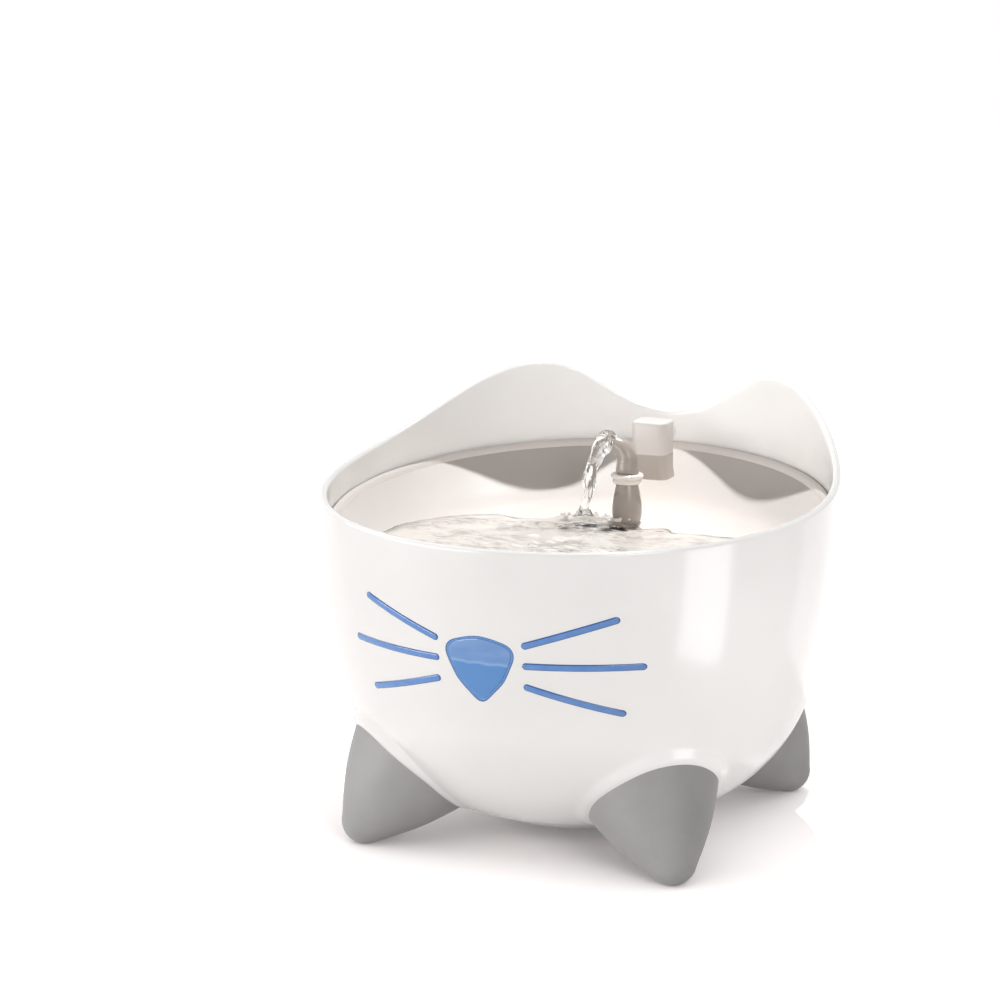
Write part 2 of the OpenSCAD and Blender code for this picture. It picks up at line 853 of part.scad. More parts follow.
module riser_tube() {
    neck_r = socket_bore_r - fit;
    start_z = pump_z + pump_h + gap;
    color(shell_white, 0.8) at_spout() difference() {
        union() {
            translate([0, 0, start_z]) cylinder(r = riser_r, h = riser_neck_z - start_z);
            translate([0, 0, riser_neck_z - eps]) cylinder(r = neck_r, h = riser_top_z - riser_neck_z + eps);
        }
        translate([0, 0, start_z - 1]) cylinder(r = outlet_r, h = outlet_top_z - start_z + 1);
        translate([0, 0, start_z]) cylinder(r = outlet_bore_r, h = top_z);
    }
}

// Rounded outline of the pump, extruded along Y
module pump_block(y0, y1, inset) {
    translate([0, y0, pump_axis_z]) rotate([-90, 0, 0]) linear_extrude(y1 - y0)
        round_square(pump_w - 2 * inset, pump_h - 2 * inset, pump_corner_r - min(inset, pump_corner_r - 1));
}

module pump_housing() {
    color(dark_grey) difference() {
        union() {
            difference() {
                pump_block(motor_y0, chamber_y1, 0);
                pump_block(motor_y0 - 1, chamber_y0 - pump_wall, pump_wall);
            }
            rod_y(can_r + can_wall, can_y0 - can_wall, chamber_y0 - pump_wall + eps);
            at_spout() translate([0, 0, pump_axis_z]) cylinder(r = outlet_r, h = outlet_top_z - pump_axis_z);
        }
        rod_y(can_r, can_y0, chamber_y1);
        rod_y(chamber_r, chamber_y0, chamber_y1 + 1);
        at_spout() translate([0, 0, pump_axis_z]) cylinder(r = outlet_bore_r, h = top_z);
        pump_seal_ring();
        gland_shape(gland_r);
    }
}

module pump_seal_ring() {
    difference() {
        rod_y(chamber_r + 1 + seal_w, chamber_y1 - seal_w, chamber_y1 + eps);
        rod_y(chamber_r + 1, chamber_y1 - 2, chamber_y1 + 1);
    }
}

module pump_seal() {
    color(steel) intersection() {
        pump_seal_ring();
        rod_y(2 * chamber_r, chamber_y1 - seal_w, chamber_y1);
    }
}

module potting_cap() {
    color([0.1, 0.1, 0.1]) difference() {
        pump_block(motor_y0 + 0.6, motor_y0 + pump_wall + 0.4, pump_wall);
        gland_shape(gland_r);
    }
}

core_y0 = can_y0 + 4;
core_len = 13;
core_w = 2 * (can_r + can_wall) + 1;

module stator_core() {
    color(steel) difference() {
        translate([-core_w / 2, core_y0, pump_z + pump_wall])
            cube([core_w, core_len, pump_h - 2 * pump_wall]);
        rod_y(can_r + can_wall, core_y0 - 1, core_y0 + core_len + 1);
    }
}

module stator_coils() {
    coil_w = (pump_w - 2 * pump_wall - core_w) / 2 - gap;
    for (side = [-1, 1])
        color(copper) translate([side * (core_w + coil_w) / 2, core_y0 + core_len / 2, pump_axis_z])
            cube([coil_w, core_len - 2, pump_h - 2 * pump_wall - 8], center = true);
}

impeller_y0 = can_y0 + 2.6;
impeller_y1 = chamber_y1 - 2;
hub_r = 2.8;

module impeller() {
    vane_r = chamber_r - 1.6;
    vane_t = 1.2;
    disc_r = vane_r - 3;
    disc_y = chamber_y0 + 0.5;
    color(shell_white) difference() {
        union() {
            rod_y(hub_r, impeller_y0, impeller_y1);
            rod_y(disc_r, disc_y, disc_y + vane_t);
            for (i = [0 : vane_count - 1])
                translate([0, 0, pump_axis_z]) rotate([0, (i + 0.5) * 360 / vane_count, 0])
                    translate([hub_r - 0.5, disc_y + vane_t / 2, -vane_t / 2])
                        cube([vane_r - hub_r, impeller_y1 - disc_y - vane_t, vane_t]);
        }
        rod_y(shaft_r + fit, impeller_y0 - 1, impeller_y1 + 1);
    }
}

module rotor_magnet() {
    color([0.2, 0.2, 0.22]) difference() {
        rod_y(can_r - 0.5, impeller_y0 + 0.6, chamber_y0 - 0.6);
        rod_y(hub_r, impeller_y0, chamber_y0);
    }
}

module impeller_shaft() {
    color(steel) rod_y(shaft_r, can_y0 + 0.2, chamber_y1 + 0.8);
}

// Bushing at the can's blind end, with the shaft in it
module shaft_bushings() {
    color(warm_grey) difference() {
        rod_y(can_r - 0.4, can_y0, can_y0 + 2.2);
        rod_y(shaft_r, can_y0 + 0.2, can_y0 + 3);
    }
}

inlet_count = 5;
inlet_pitch = 3;
inlet_slot_w = 1.5;
inlet_h = 9;
slider_w = 12;
slider_t = 1.6;
slider_x = -pump_w / 2 + 2.2;
inlet_x = slider_x + slider_w + 1;

module pump_cover() {
    rail_w = 1.6;
    color(dark_grey) difference() {
        union() {
            pump_block(chamber_y1, cover_y1, 0);
            rod_y(chamber_r - gap, chamber_y1 - 1.4, chamber_y1 + eps);
            for (side = [-1, 1])
                translate([-pump_w / 2 + 2, cover_y1 - eps, pump_axis_z + side * (inlet_h / 2 + 2.6) - rail_w / 2])
                    cube([pump_w - 4, slider_t + gap, rail_w]);
        }
        rod_y(shaft_r + 0.5, chamber_y1 - 2, chamber_y1 + 1.4);
        rod_y(chamber_r - gap - 1.2, chamber_y1 - 2, chamber_y1);
        for (i = [0 : inlet_count - 1])
            translate([inlet_x + i * inlet_pitch, chamber_y1 - 2, pump_axis_z - inlet_h / 2])
                cube([inlet_slot_w, cover_t + 3, inlet_h]);
    }
}

module flow_slider() {
    color(warm_grey) {
        translate([slider_x, cover_y1 + gap / 2, pump_axis_z - inlet_h / 2 - 1.4])
            cube([slider_w, slider_t, inlet_h + 2.8]);
        translate([slider_x + 1, cover_y1 + gap / 2 + slider_t - eps, pump_axis_z - inlet_h / 2])
            cube([2, 1.8, inlet_h]);
    }
}

module suction_cups() {
    cup_y0 = motor_y0 + 8;
    cup_y1 = chamber_y1 - 6;
    for (x = [-1, 1], y = [cup_y0, cup_y1])
        color(foot_grey) translate([x * (pump_w / 2 - 6), y, pump_seat_z]) {
            cylinder(r1 = 5, r2 = 3, h = cup_h / 2);
            translate([0, 0, cup_h / 2 - eps]) cylinder(r = 3, h = cup_h / 2 + eps);
        }
}

gland_r = 3;

module gland_shape(r) {
    translate([-pump_w / 2 + 9, motor_y0 - 5, pump_axis_z + pump_h / 2 - 9])
        rotate([-90, 0, 0]) cylinder(r = r, h = 5 + pump_wall + 0.4);
}

module cable_gland() {
    color(dark_grey) difference() {
        gland_shape(gland_r);
        translate([0, -eps, 0]) gland_shape(lead_r - 0.4);
    }
}

reservoir_shell();
foot_front_left();
foot_front_right();
foot_rear_left();
foot_rear_right();
nose_window();
nose_gasket();
nose_retainer();
whisker_upper_left();
whisker_middle_left();
whisker_lower_left();
whisker_upper_right();
whisker_middle_right();
whisker_lower_right();
cable_grommet();
drinking_tray();
rear_hood_base();
rear_hood_cap();
filter_basket();
filter_frame();
filter_media();
filter_foam();
drain_grate();
spout_base();
spout_collar();
spout_nozzle();
spout_seal();
riser_tube();
pump_housing();
potting_cap();
stator_core();
stator_coils();
impeller();
rotor_magnet();
impeller_shaft();
shaft_bushings();
pump_seal();
pump_cover();
flow_slider();
suction_cups();
cable_gland();
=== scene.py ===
"""Pet water fountain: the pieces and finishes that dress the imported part.

Lengths are in metres, in the part's own frame: the origin lies on the floor under the
bowl's axis, +Z is up and the face looks along -Y.
"""

import logging
import math
from dataclasses import dataclass
from enum import Enum
from typing import Callable, Sequence

import bpy
import numpy as np
from mathutils import Matrix, Vector


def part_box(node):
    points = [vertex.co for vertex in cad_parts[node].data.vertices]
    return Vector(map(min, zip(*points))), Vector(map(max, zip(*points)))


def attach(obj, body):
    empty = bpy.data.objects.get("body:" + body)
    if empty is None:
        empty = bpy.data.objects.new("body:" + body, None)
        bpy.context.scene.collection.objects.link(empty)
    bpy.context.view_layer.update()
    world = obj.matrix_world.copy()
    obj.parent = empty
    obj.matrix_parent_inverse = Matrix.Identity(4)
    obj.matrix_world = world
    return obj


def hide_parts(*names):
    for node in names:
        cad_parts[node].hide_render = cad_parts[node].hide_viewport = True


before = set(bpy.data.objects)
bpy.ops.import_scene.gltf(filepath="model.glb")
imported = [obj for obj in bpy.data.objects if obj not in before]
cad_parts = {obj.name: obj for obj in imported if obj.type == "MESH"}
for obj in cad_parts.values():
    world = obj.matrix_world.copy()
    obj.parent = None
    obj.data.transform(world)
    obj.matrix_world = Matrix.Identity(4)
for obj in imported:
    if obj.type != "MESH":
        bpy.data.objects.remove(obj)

log = logging.getLogger("fountain")

Point2 = tuple[float, float]
Colour = tuple[float, float, float, float]
Stops = Sequence[tuple[float, Colour]]


def tone(red: int, green: int, blue: int) -> Colour:
    """Turns a screen colour into the linear colour that shaders take.

    Args:
        red: Red, from 0 to 255.
        green: Green, from 0 to 255.
        blue: Blue, from 0 to 255.

    Returns:
        The linear colour with full alpha.
    """
    linear = []
    for value in (red, green, blue):
        share = value / 255
        linear.append(share / 12.92 if share <= 0.04045 else ((share + 0.055) / 1.055) ** 2.4)
    return (linear[0], linear[1], linear[2], 1.0)


class Body(str, Enum):
    """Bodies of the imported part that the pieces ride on."""

    RESERVOIR = "reservoir"
    TRAY = "tray"
    CARTRIDGE = "cartridge"
    SPOUT = "spout"
    NOZZLE = "nozzle"


class Side(Enum):
    """Left and right of the face, as seen from the front."""

    LEFT = -1
    RIGHT = 1


class FootPlace(Enum):
    """The four feet: node name, turn from the front in degrees and how far out."""

    FRONT_LEFT = ("foot_front_left", -45.0, 0.0)
    FRONT_RIGHT = ("foot_front_right", 45.0, 0.0)
    REAR_LEFT = ("foot_rear_left", 225.0, 0.004)
    REAR_RIGHT = ("foot_rear_right", 135.0, 0.004)


# ---- Finishes ----


class NodeBoard:
    """The node tree of one material, with short ways to add and join nodes."""

    def __init__(self, name: str) -> None:
        """Starts a material of that name."""
        self.material = bpy.data.materials.new(name)
        self.material.use_nodes = True
        self.tree = self.material.node_tree
        self.shader = self.tree.nodes["Principled BSDF"]
        self.out = self.tree.nodes["Material Output"]

    def set(self, **values: float | Colour) -> None:
        """Sets the shader's own sockets, named with underscores for spaces."""
        for name, value in values.items():
            wanted = name.replace("_", " ").lower()
            for socket in self.shader.inputs:
                if socket.name.lower() == wanted:
                    socket.default_value = value

    def add(self, kind: str, **settings: object) -> bpy.types.Node:
        """Adds a node and sets its fields."""
        node = self.tree.nodes.new(kind)
        for name, value in settings.items():
            setattr(node, name, value)
        return node

    def join(self, source: bpy.types.NodeSocket, target: bpy.types.NodeSocket) -> None:
        """Links two sockets."""
        self.tree.links.new(source, target)

    def feed(self, name: str, source: bpy.types.NodeSocket) -> None:
        """Links a socket to the shader's input of that name."""
        self.join(source, self.shader.inputs[name])

    def place(self, stretch: tuple[float, float, float] = (1, 1, 1)) -> bpy.types.NodeSocket:
        """Returns object coordinates, stretched along the three axes."""
        spot = self.add("ShaderNodeTexCoord").outputs["Object"]
        scale = self.add("ShaderNodeMapping")
        scale.inputs["Scale"].default_value = stretch
        self.join(spot, scale.inputs["Vector"])
        return scale.outputs["Vector"]

    def noise(
        self,
        scale: float,
        detail: float = 3.0,
        roughness: float = 0.5,
        where: bpy.types.NodeSocket | None = None,
        distortion: float = 0.0,
    ) -> bpy.types.NodeSocket:
        """Returns a noise value.

        Args:
            scale: Cells per metre.
            detail: Number of finer layers.
            roughness: Weight of the finer layers.
            where: Coordinates, or none for the plain object coordinates.
            distortion: How much the pattern is warped.

        Returns:
            The noise's value socket.
        """
        node = self.add("ShaderNodeTexNoise")
        node.inputs["Scale"].default_value = scale
        node.inputs["Detail"].default_value = detail
        node.inputs["Roughness"].default_value = roughness
        node.inputs["Distortion"].default_value = distortion
        self.join(where or self.place(), node.inputs["Vector"])
        return node.outputs["Fac"]

    def spread(
        self, source: bpy.types.NodeSocket, low: float, high: float, start: float = 0.3, end: float = 0.7
    ) -> bpy.types.NodeSocket:
        """Maps a value from start..end to low..high."""
        node = self.add("ShaderNodeMapRange")
        node.inputs["From Min"].default_value = start
        node.inputs["From Max"].default_value = end
        node.inputs["To Min"].default_value = low
        node.inputs["To Max"].default_value = high
        self.join(source, node.inputs["Value"])
        return node.outputs["Result"]

    def math(
        self, operation: str, first: bpy.types.NodeSocket, second: bpy.types.NodeSocket | float
    ) -> bpy.types.NodeSocket:
        """Joins two values by a sum, a product or another operation."""
        node = self.add("ShaderNodeMath", operation=operation)
        self.join(first, node.inputs[0])
        if isinstance(second, (int, float)):
            node.inputs[1].default_value = second
        else:
            self.join(second, node.inputs[1])
        return node.outputs["Value"]

    def ramp(self, source: bpy.types.NodeSocket, stops: Stops) -> bpy.types.NodeSocket:
        """Turns a value into a colour by a row of stops."""
        node = self.add("ShaderNodeValToRGB")
        marks = node.color_ramp.elements
        while len(marks) < len(stops):
            marks.new(0.5)
        for mark, (spot, colour) in zip(marks, stops):
            mark.position = spot
            mark.color = colour
        self.join(source, node.inputs["Fac"])
        return node.outputs["Color"]

    def mix(
        self,
        share: bpy.types.NodeSocket,
        first: Colour | bpy.types.NodeSocket,
        second: Colour | bpy.types.NodeSocket,
    ) -> bpy.types.NodeSocket:
        """Mixes two colours by a share."""
        node = self.add("ShaderNodeMix", data_type="RGBA")
        self.join(share, node.inputs[0])
        for colour, socket in ((first, node.inputs[6]), (second, node.inputs[7])):
            if isinstance(colour, bpy.types.NodeSocket):
                self.join(colour, socket)
            else:
                socket.default_value = colour
        return node.outputs[2]

    def relief(self, height: bpy.types.NodeSocket, depth: float, strength: float = 1.0) -> None:
        """Bumps the surface by a height of that depth in metres."""
        node = self.add("ShaderNodeBump")
        node.inputs["Strength"].default_value = strength
        node.inputs["Distance"].default_value = depth
        self.join(height, node.inputs["Height"])
        self.feed("Normal", node.outputs["Normal"])


@dataclass(frozen=True)
class MouldedPlastic:
    """Injection-moulded plastic: a faint mottle, a wavy gloss and a fine skin."""

    name: str
    colour: Colour
    shade: Colour
    roughness: float = 0.3
    roughness_spread: float = 0.06
    mottle: float = 60.0
    grain: float = 900.0
    grain_depth: float = 0.00002
    coat: float = 0.0
    coat_roughness: float = 0.05
    glow: float = 0.0

    def material(self) -> bpy.types.Material:
        """Builds the material."""
        board = NodeBoard(self.name)
        patches = board.noise(self.mottle, 4.0, 0.55)
        board.feed("Base Color", board.mix(board.spread(patches, 0.0, 1.0), self.colour, self.shade))
        gloss = board.noise(self.mottle * 3.1, 3.0)
        board.feed(
            "Roughness",
            board.spread(gloss, self.roughness - self.roughness_spread, self.roughness + self.roughness_spread),
        )
        board.relief(board.noise(self.grain, 2.0), self.grain_depth)
        board.set(IOR=1.5, Coat_Weight=self.coat, Coat_Roughness=self.coat_roughness)
        if self.glow:
            board.set(Subsurface_Weight=self.glow, Subsurface_Scale=0.004)
        return board.material


@dataclass(frozen=True)
class InlayWithPaintedEdgeShade:
    """Clear coloured plastic with painted shade: a deeper colour on its rounded edges and down into the gap
    round it.
    """

    name: str
    colour: Colour
    shade: Colour
    # Painted shade: the colour laid on the rounded edges and in the gap round the piece.
    edge: Colour
    roughness: float = 0.2

    def material(self) -> bpy.types.Material:
        """Builds the material."""
        board = NodeBoard(self.name)
        cloud = board.spread(board.noise(160.0, 4.0, 0.6), 0.0, 1.0)
        # Where the attribute "edge" marks the rounded edges and the gap, the colour deepens to the painted
        # shade.
        mark = board.add("ShaderNodeAttribute", attribute_name="edge").outputs["Fac"]
        body = board.mix(cloud, self.colour, self.shade)
        board.feed("Base Color", board.mix(board.spread(mark, 0.0, 1.0, 0.35, 0.8), body, self.edge))
        gloss = board.spread(board.noise(400.0, 2.0), self.roughness - 0.05, self.roughness + 0.08)
        board.feed("Roughness", gloss)
        board.relief(board.noise(520.0, 2.0), 0.00003, 0.7)
        board.set(IOR=1.49, Coat_Weight=0.5, Coat_Roughness=0.06)
        return board.material


@dataclass(frozen=True)
class SoftTouchRubber:
    """Matt rubber with a dusty bloom and worn, slightly shinier high spots."""

    name: str
    colour: Colour
    bloom: Colour
    roughness: float = 0.55
    speckle: float = 2600.0

    def material(self) -> bpy.types.Material:
        """Builds the material."""
        board = NodeBoard(self.name)
        bloom = board.spread(board.noise(38.0, 5.0, 0.6), 0.0, 1.0)
        fine = board.spread(board.noise(self.speckle, 2.0), 0.0, 0.35)
        share = board.math("MULTIPLY", bloom, board.math("ADD", fine, 0.65))
        board.feed("Base Color", board.mix(share, self.colour, self.bloom))
        gloss = board.spread(board.noise(70.0, 4.0), self.roughness - 0.08, self.roughness + 0.08)
        board.feed("Roughness", gloss)
        board.relief(board.noise(self.speckle, 3.0), 0.00003, 0.7)
        board.set(Sheen_Weight=0.12, Sheen_Roughness=0.4)
        return board.material


@dataclass(frozen=True)
class TintedWindow:
    """Blue see-through plastic, deeper in colour below the water behind it."""

    name: str
    wet: Colour
    dry: Colour
    line: Colour
    water_height: float
    clear: float = 0.1

    def material(self) -> bpy.types.Material:
        """Builds the material."""
        board = NodeBoard(self.name)
        spot = board.add("ShaderNodeTexCoord").outputs["Object"]
        split = board.add("ShaderNodeSeparateXYZ")
        board.join(spot, split.inputs[0])
        wobble = board.noise(55.0, 3.0, 0.5, board.place((1.6, 1, 0.35)))
        height = board.math("ADD", split.outputs["Z"], board.spread(wobble, -0.0009, 0.0009))
        share = board.spread(height, 0.0, 1.0, self.water_height - 0.012, self.water_height + 0.012)
        cloud = board.noise(120.0, 3.0, 0.5, board.place((0.6, 1, 2.2)))
        upper = board.mix(board.spread(cloud, 0.0, 1.0), self.dry, self.line)
        tint = board.ramp(share, self._stops())
        above = board.math("GREATER_THAN", share, 0.52)
        board.feed("Base Color", board.mix(board.math("MULTIPLY", above, 0.45), tint, upper))
        board.feed("Roughness", board.spread(board.noise(300.0, 2.0), 0.08, 0.16))
        board.relief(board.noise(160.0, 2.0), 0.00004, 0.5)
        board.set(IOR=1.49, Transmission_Weight=self.clear, Coat_Weight=0.4)
        return board.material

    def _stops(self) -> Stops:
        """Returns the colours from the deep water up to the dry top."""
        return (
            (0.0, self.wet),
            (0.46, self.wet),
            (0.5, self.line),
            (0.54, self.dry),
            (1.0, self.dry),
        )


@dataclass(frozen=True)
class ClearWater:
    """Clear moving water whose base colour is painted: thin dark wave lines, a dark rim where it turns from the
    view, a dark shore line and dark rings round the landing stand in for what it refracts and reflects.
    """

    name: str
    tint: Colour = (0.985, 0.99, 0.99, 1.0)
    # line: colour of the painted dark marks; lines and edge set their strength on the waves and on the rim.
    line: Colour = (0.2, 0.18, 0.165, 1.0)
    lines: float = 0.95
    line_width: float = 0.045
    wave: float = 120.0
    stretch: tuple[float, float, float] = (0.55, 1.5, 1.0)
    edge: float = 0.35
    bump: float = 0.0007
    rings: bool = False

    def material(self) -> bpy.types.Material:
        """Builds the material."""
        board = NodeBoard(self.name)
        where = board.place(self.stretch)
        swell = board.noise(self.wave, 1.0, 0.5, where, 0.9)
        # Painted marks: thin dark lines along the wave ridges, standing in for what the water refracts.
        ridge = board.math("ABSOLUTE", board.math("SUBTRACT", swell, 0.5), 0.0)
        thin = board.spread(ridge, 1.0, 0.0, 0.0, self.line_width)
        gate = board.spread(board.noise(self.wave * 0.4, 2.0, 0.5, where), 0.0, 1.0, 0.45, 0.54)
        # Painted shade: the colour darkens where the surface turns from the view.
        rim = board.add("ShaderNodeLayerWeight")
        rim.inputs["Blend"].default_value = 0.25
        painted_rim_shade = board.spread(rim.outputs["Facing"], 0.0, self.edge, 0.35, 0.85)
        painted_wave_lines = board.math("MULTIPLY", board.math("MULTIPLY", thin, gate), self.lines)
        # Painted shade: a dark line where the "edge" attribute marks the shore.
        shore = board.add("ShaderNodeAttribute", attribute_name="edge").outputs["Fac"]
        painted_lines_and_rim = board.math("MAXIMUM", painted_wave_lines, painted_rim_shade)
        share = board.math("MAXIMUM", painted_lines_and_rim, board.math("MULTIPLY", shore, 0.8))
        if self.rings:
            share = board.math("MAXIMUM", share, self._painted_rings(board))
        board.feed("Base Color", board.mix(share, self.tint, self.line))
        board.relief(board.noise(self.wave * 1.4, 3.0, 0.5, where, 0.5), self.bump, 0.6)
        board.set(Roughness=0.02, IOR=1.33, Transmission_Weight=1.0)
        self._let_light_through(board)
        return board.material

    @staticmethod
    def _painted_rings(board: NodeBoard) -> bpy.types.NodeSocket:
        """Returns the broken dark rings painted round the place where the stream lands, standing in for what
        its ripples refract.
        """
        offset = board.add("ShaderNodeVectorMath", operation="SUBTRACT")
        board.join(board.add("ShaderNodeTexCoord").outputs["Object"], offset.inputs[0])
        offset.inputs[1].default_value = (LANDING[0] * MM, LANDING[1] * MM, WATER_LEVEL)
        run = board.add("ShaderNodeVectorMath", operation="LENGTH")
        board.join(offset.outputs["Vector"], run.inputs[0])
        wobble = board.spread(board.noise(70.0, 2.0, 0.5), -0.0035, 0.0035)
        far = board.math("ADD", run.outputs["Value"], wobble)
        total = None
        for radius, half, strength, scale in (
            (0.0065, 0.0005, 0.6, 160.0),
            (0.0115, 0.0009, 0.75, 75.0),
            (0.0165, 0.0006, 0.65, 130.0),
            (0.021, 0.0006, 0.65, 120.0),
        ):
            off = board.math("ABSOLUTE", board.math("SUBTRACT", far, radius), 0.0)
            ring = board.spread(off, strength, 0.0, half * 0.5, half * 1.4)
            broken = board.spread(board.noise(scale, 2.0, 0.5), 0.0, 1.0, 0.42, 0.52)
            ring = board.math("MULTIPLY", ring, broken)
            total = board.math("MAXIMUM", total, ring) if total else ring
        return total

    @staticmethod
    def _let_light_through(board: NodeBoard) -> None:
        """Lets shadow and bounced light pass straight through the water."""
        path = board.add("ShaderNodeLightPath")
        soft = board.math("MAXIMUM", path.outputs["Is Shadow Ray"], path.outputs["Is Diffuse Ray"])
        clear = board.add("ShaderNodeBsdfTransparent")
        clear.inputs["Color"].default_value = (0.93, 0.93, 0.92, 1.0)
        choice = board.add("ShaderNodeMixShader")
        board.join(soft, choice.inputs[0])
        board.join(board.shader.outputs[0], choice.inputs[1])
        board.join(clear.outputs[0], choice.inputs[2])
        board.join(choice.outputs[0], board.out.inputs["Surface"])


@dataclass(frozen=True)
class BrushedMetal:
    """Metal with fine drawn lines."""

    name: str
    colour: Colour
    roughness: float = 0.3
    stretch: tuple[float, float, float] = (1, 1, 30)

    def material(self) -> bpy.types.Material:
        """Builds the material."""
        board = NodeBoard(self.name)
        lines = board.noise(400.0, 4.0, 0.6, board.place(self.stretch))
        dark = tuple(c * 0.72 for c in self.colour[:3]) + (1.0,)
        board.feed("Base Color", board.mix(board.spread(lines, 0.0, 1.0), self.colour, dark))
        board.feed("Roughness", board.spread(lines, self.roughness - 0.1, self.roughness + 0.12))
        board.relief(lines, 0.00003, 0.6)
        board.set(Metallic=1.0)
        return board.material


@dataclass(frozen=True)
class LacqueredWinding:
    """Layers of lacquered copper wire, with painted shade in the grooves between turns."""

    name: str
    colour: Colour
    pitch: float = 0.0006

    def material(self) -> bpy.types.Material:
        """Builds the material."""
        board = NodeBoard(self.name)
        wire = board.add("ShaderNodeTexWave", wave_type="BANDS", bands_direction="Y", wave_profile="SIN")
        wire.inputs["Scale"].default_value = 0.314 / self.pitch
        wire.inputs["Distortion"].default_value = 0.4
        board.join(board.place(), wire.inputs["Vector"])
        turns = wire.outputs["Fac"]
        # Painted shade: the colour falls to a third in the grooves between turns.
        dark = tuple(c * 0.35 for c in self.colour[:3]) + (1.0,)
        board.feed("Base Color", board.mix(turns, dark, self.colour))
        board.feed("Roughness", board.spread(board.noise(300.0), 0.2, 0.35))
        board.relief(turns, 0.0002, 0.8)
        board.set(Metallic=0.9, Coat_Weight=0.6)
        return board.material


@dataclass(frozen=True)
class OpenFoam:
    """Open-cell filter foam whose pores carry painted shade."""

    name: str
    colour: Colour
    pore_shade: Colour
    cells: float = 900.0

    def material(self) -> bpy.types.Material:
        """Builds the material."""
        board = NodeBoard(self.name)
        cell = board.add("ShaderNodeTexVoronoi", feature="DISTANCE_TO_EDGE")
        cell.inputs["Scale"].default_value = self.cells
        board.join(board.place(), cell.inputs["Vector"])
        # Painted shade: the colour darkens towards the middle of each cell, in its hollow.
        walls = board.spread(cell.outputs["Distance"], 1.0, 0.0, 0.02, 0.22)
        board.feed("Base Color", board.mix(walls, self.pore_shade, self.colour))
        board.relief(walls, 0.0006, 0.9)
        board.feed("Roughness", board.spread(board.noise(220.0), 0.8, 0.95))
        board.set(Specular_IOR_Level=0.2)
        return board.material


@dataclass(frozen=True)
class CarbonGranules:
    """Packed grains of filter carbon."""

    name: str
    colour: Colour
    glint: Colour
    grains: float = 700.0

    def material(self) -> bpy.types.Material:
        """Builds the material."""
        board = NodeBoard(self.name)
        grain = board.add("ShaderNodeTexVoronoi", feature="F1")
        grain.inputs["Scale"].default_value = self.grains
        board.join(board.place(), grain.inputs["Vector"])
        board.feed("Base Color", board.mix(grain.outputs["Distance"], self.colour, self.glint))
        board.feed("Roughness", board.spread(grain.outputs["Distance"], 0.35, 0.8, 0.0, 0.7))
        board.relief(grain.outputs["Distance"], 0.0009, 0.9)
        return board.material


WATER_LEVEL = 0.118
TANK_LEVEL = 0.0946
LANDING = (-19.5, 55.0)
GOLDEN_TURN = 2.399


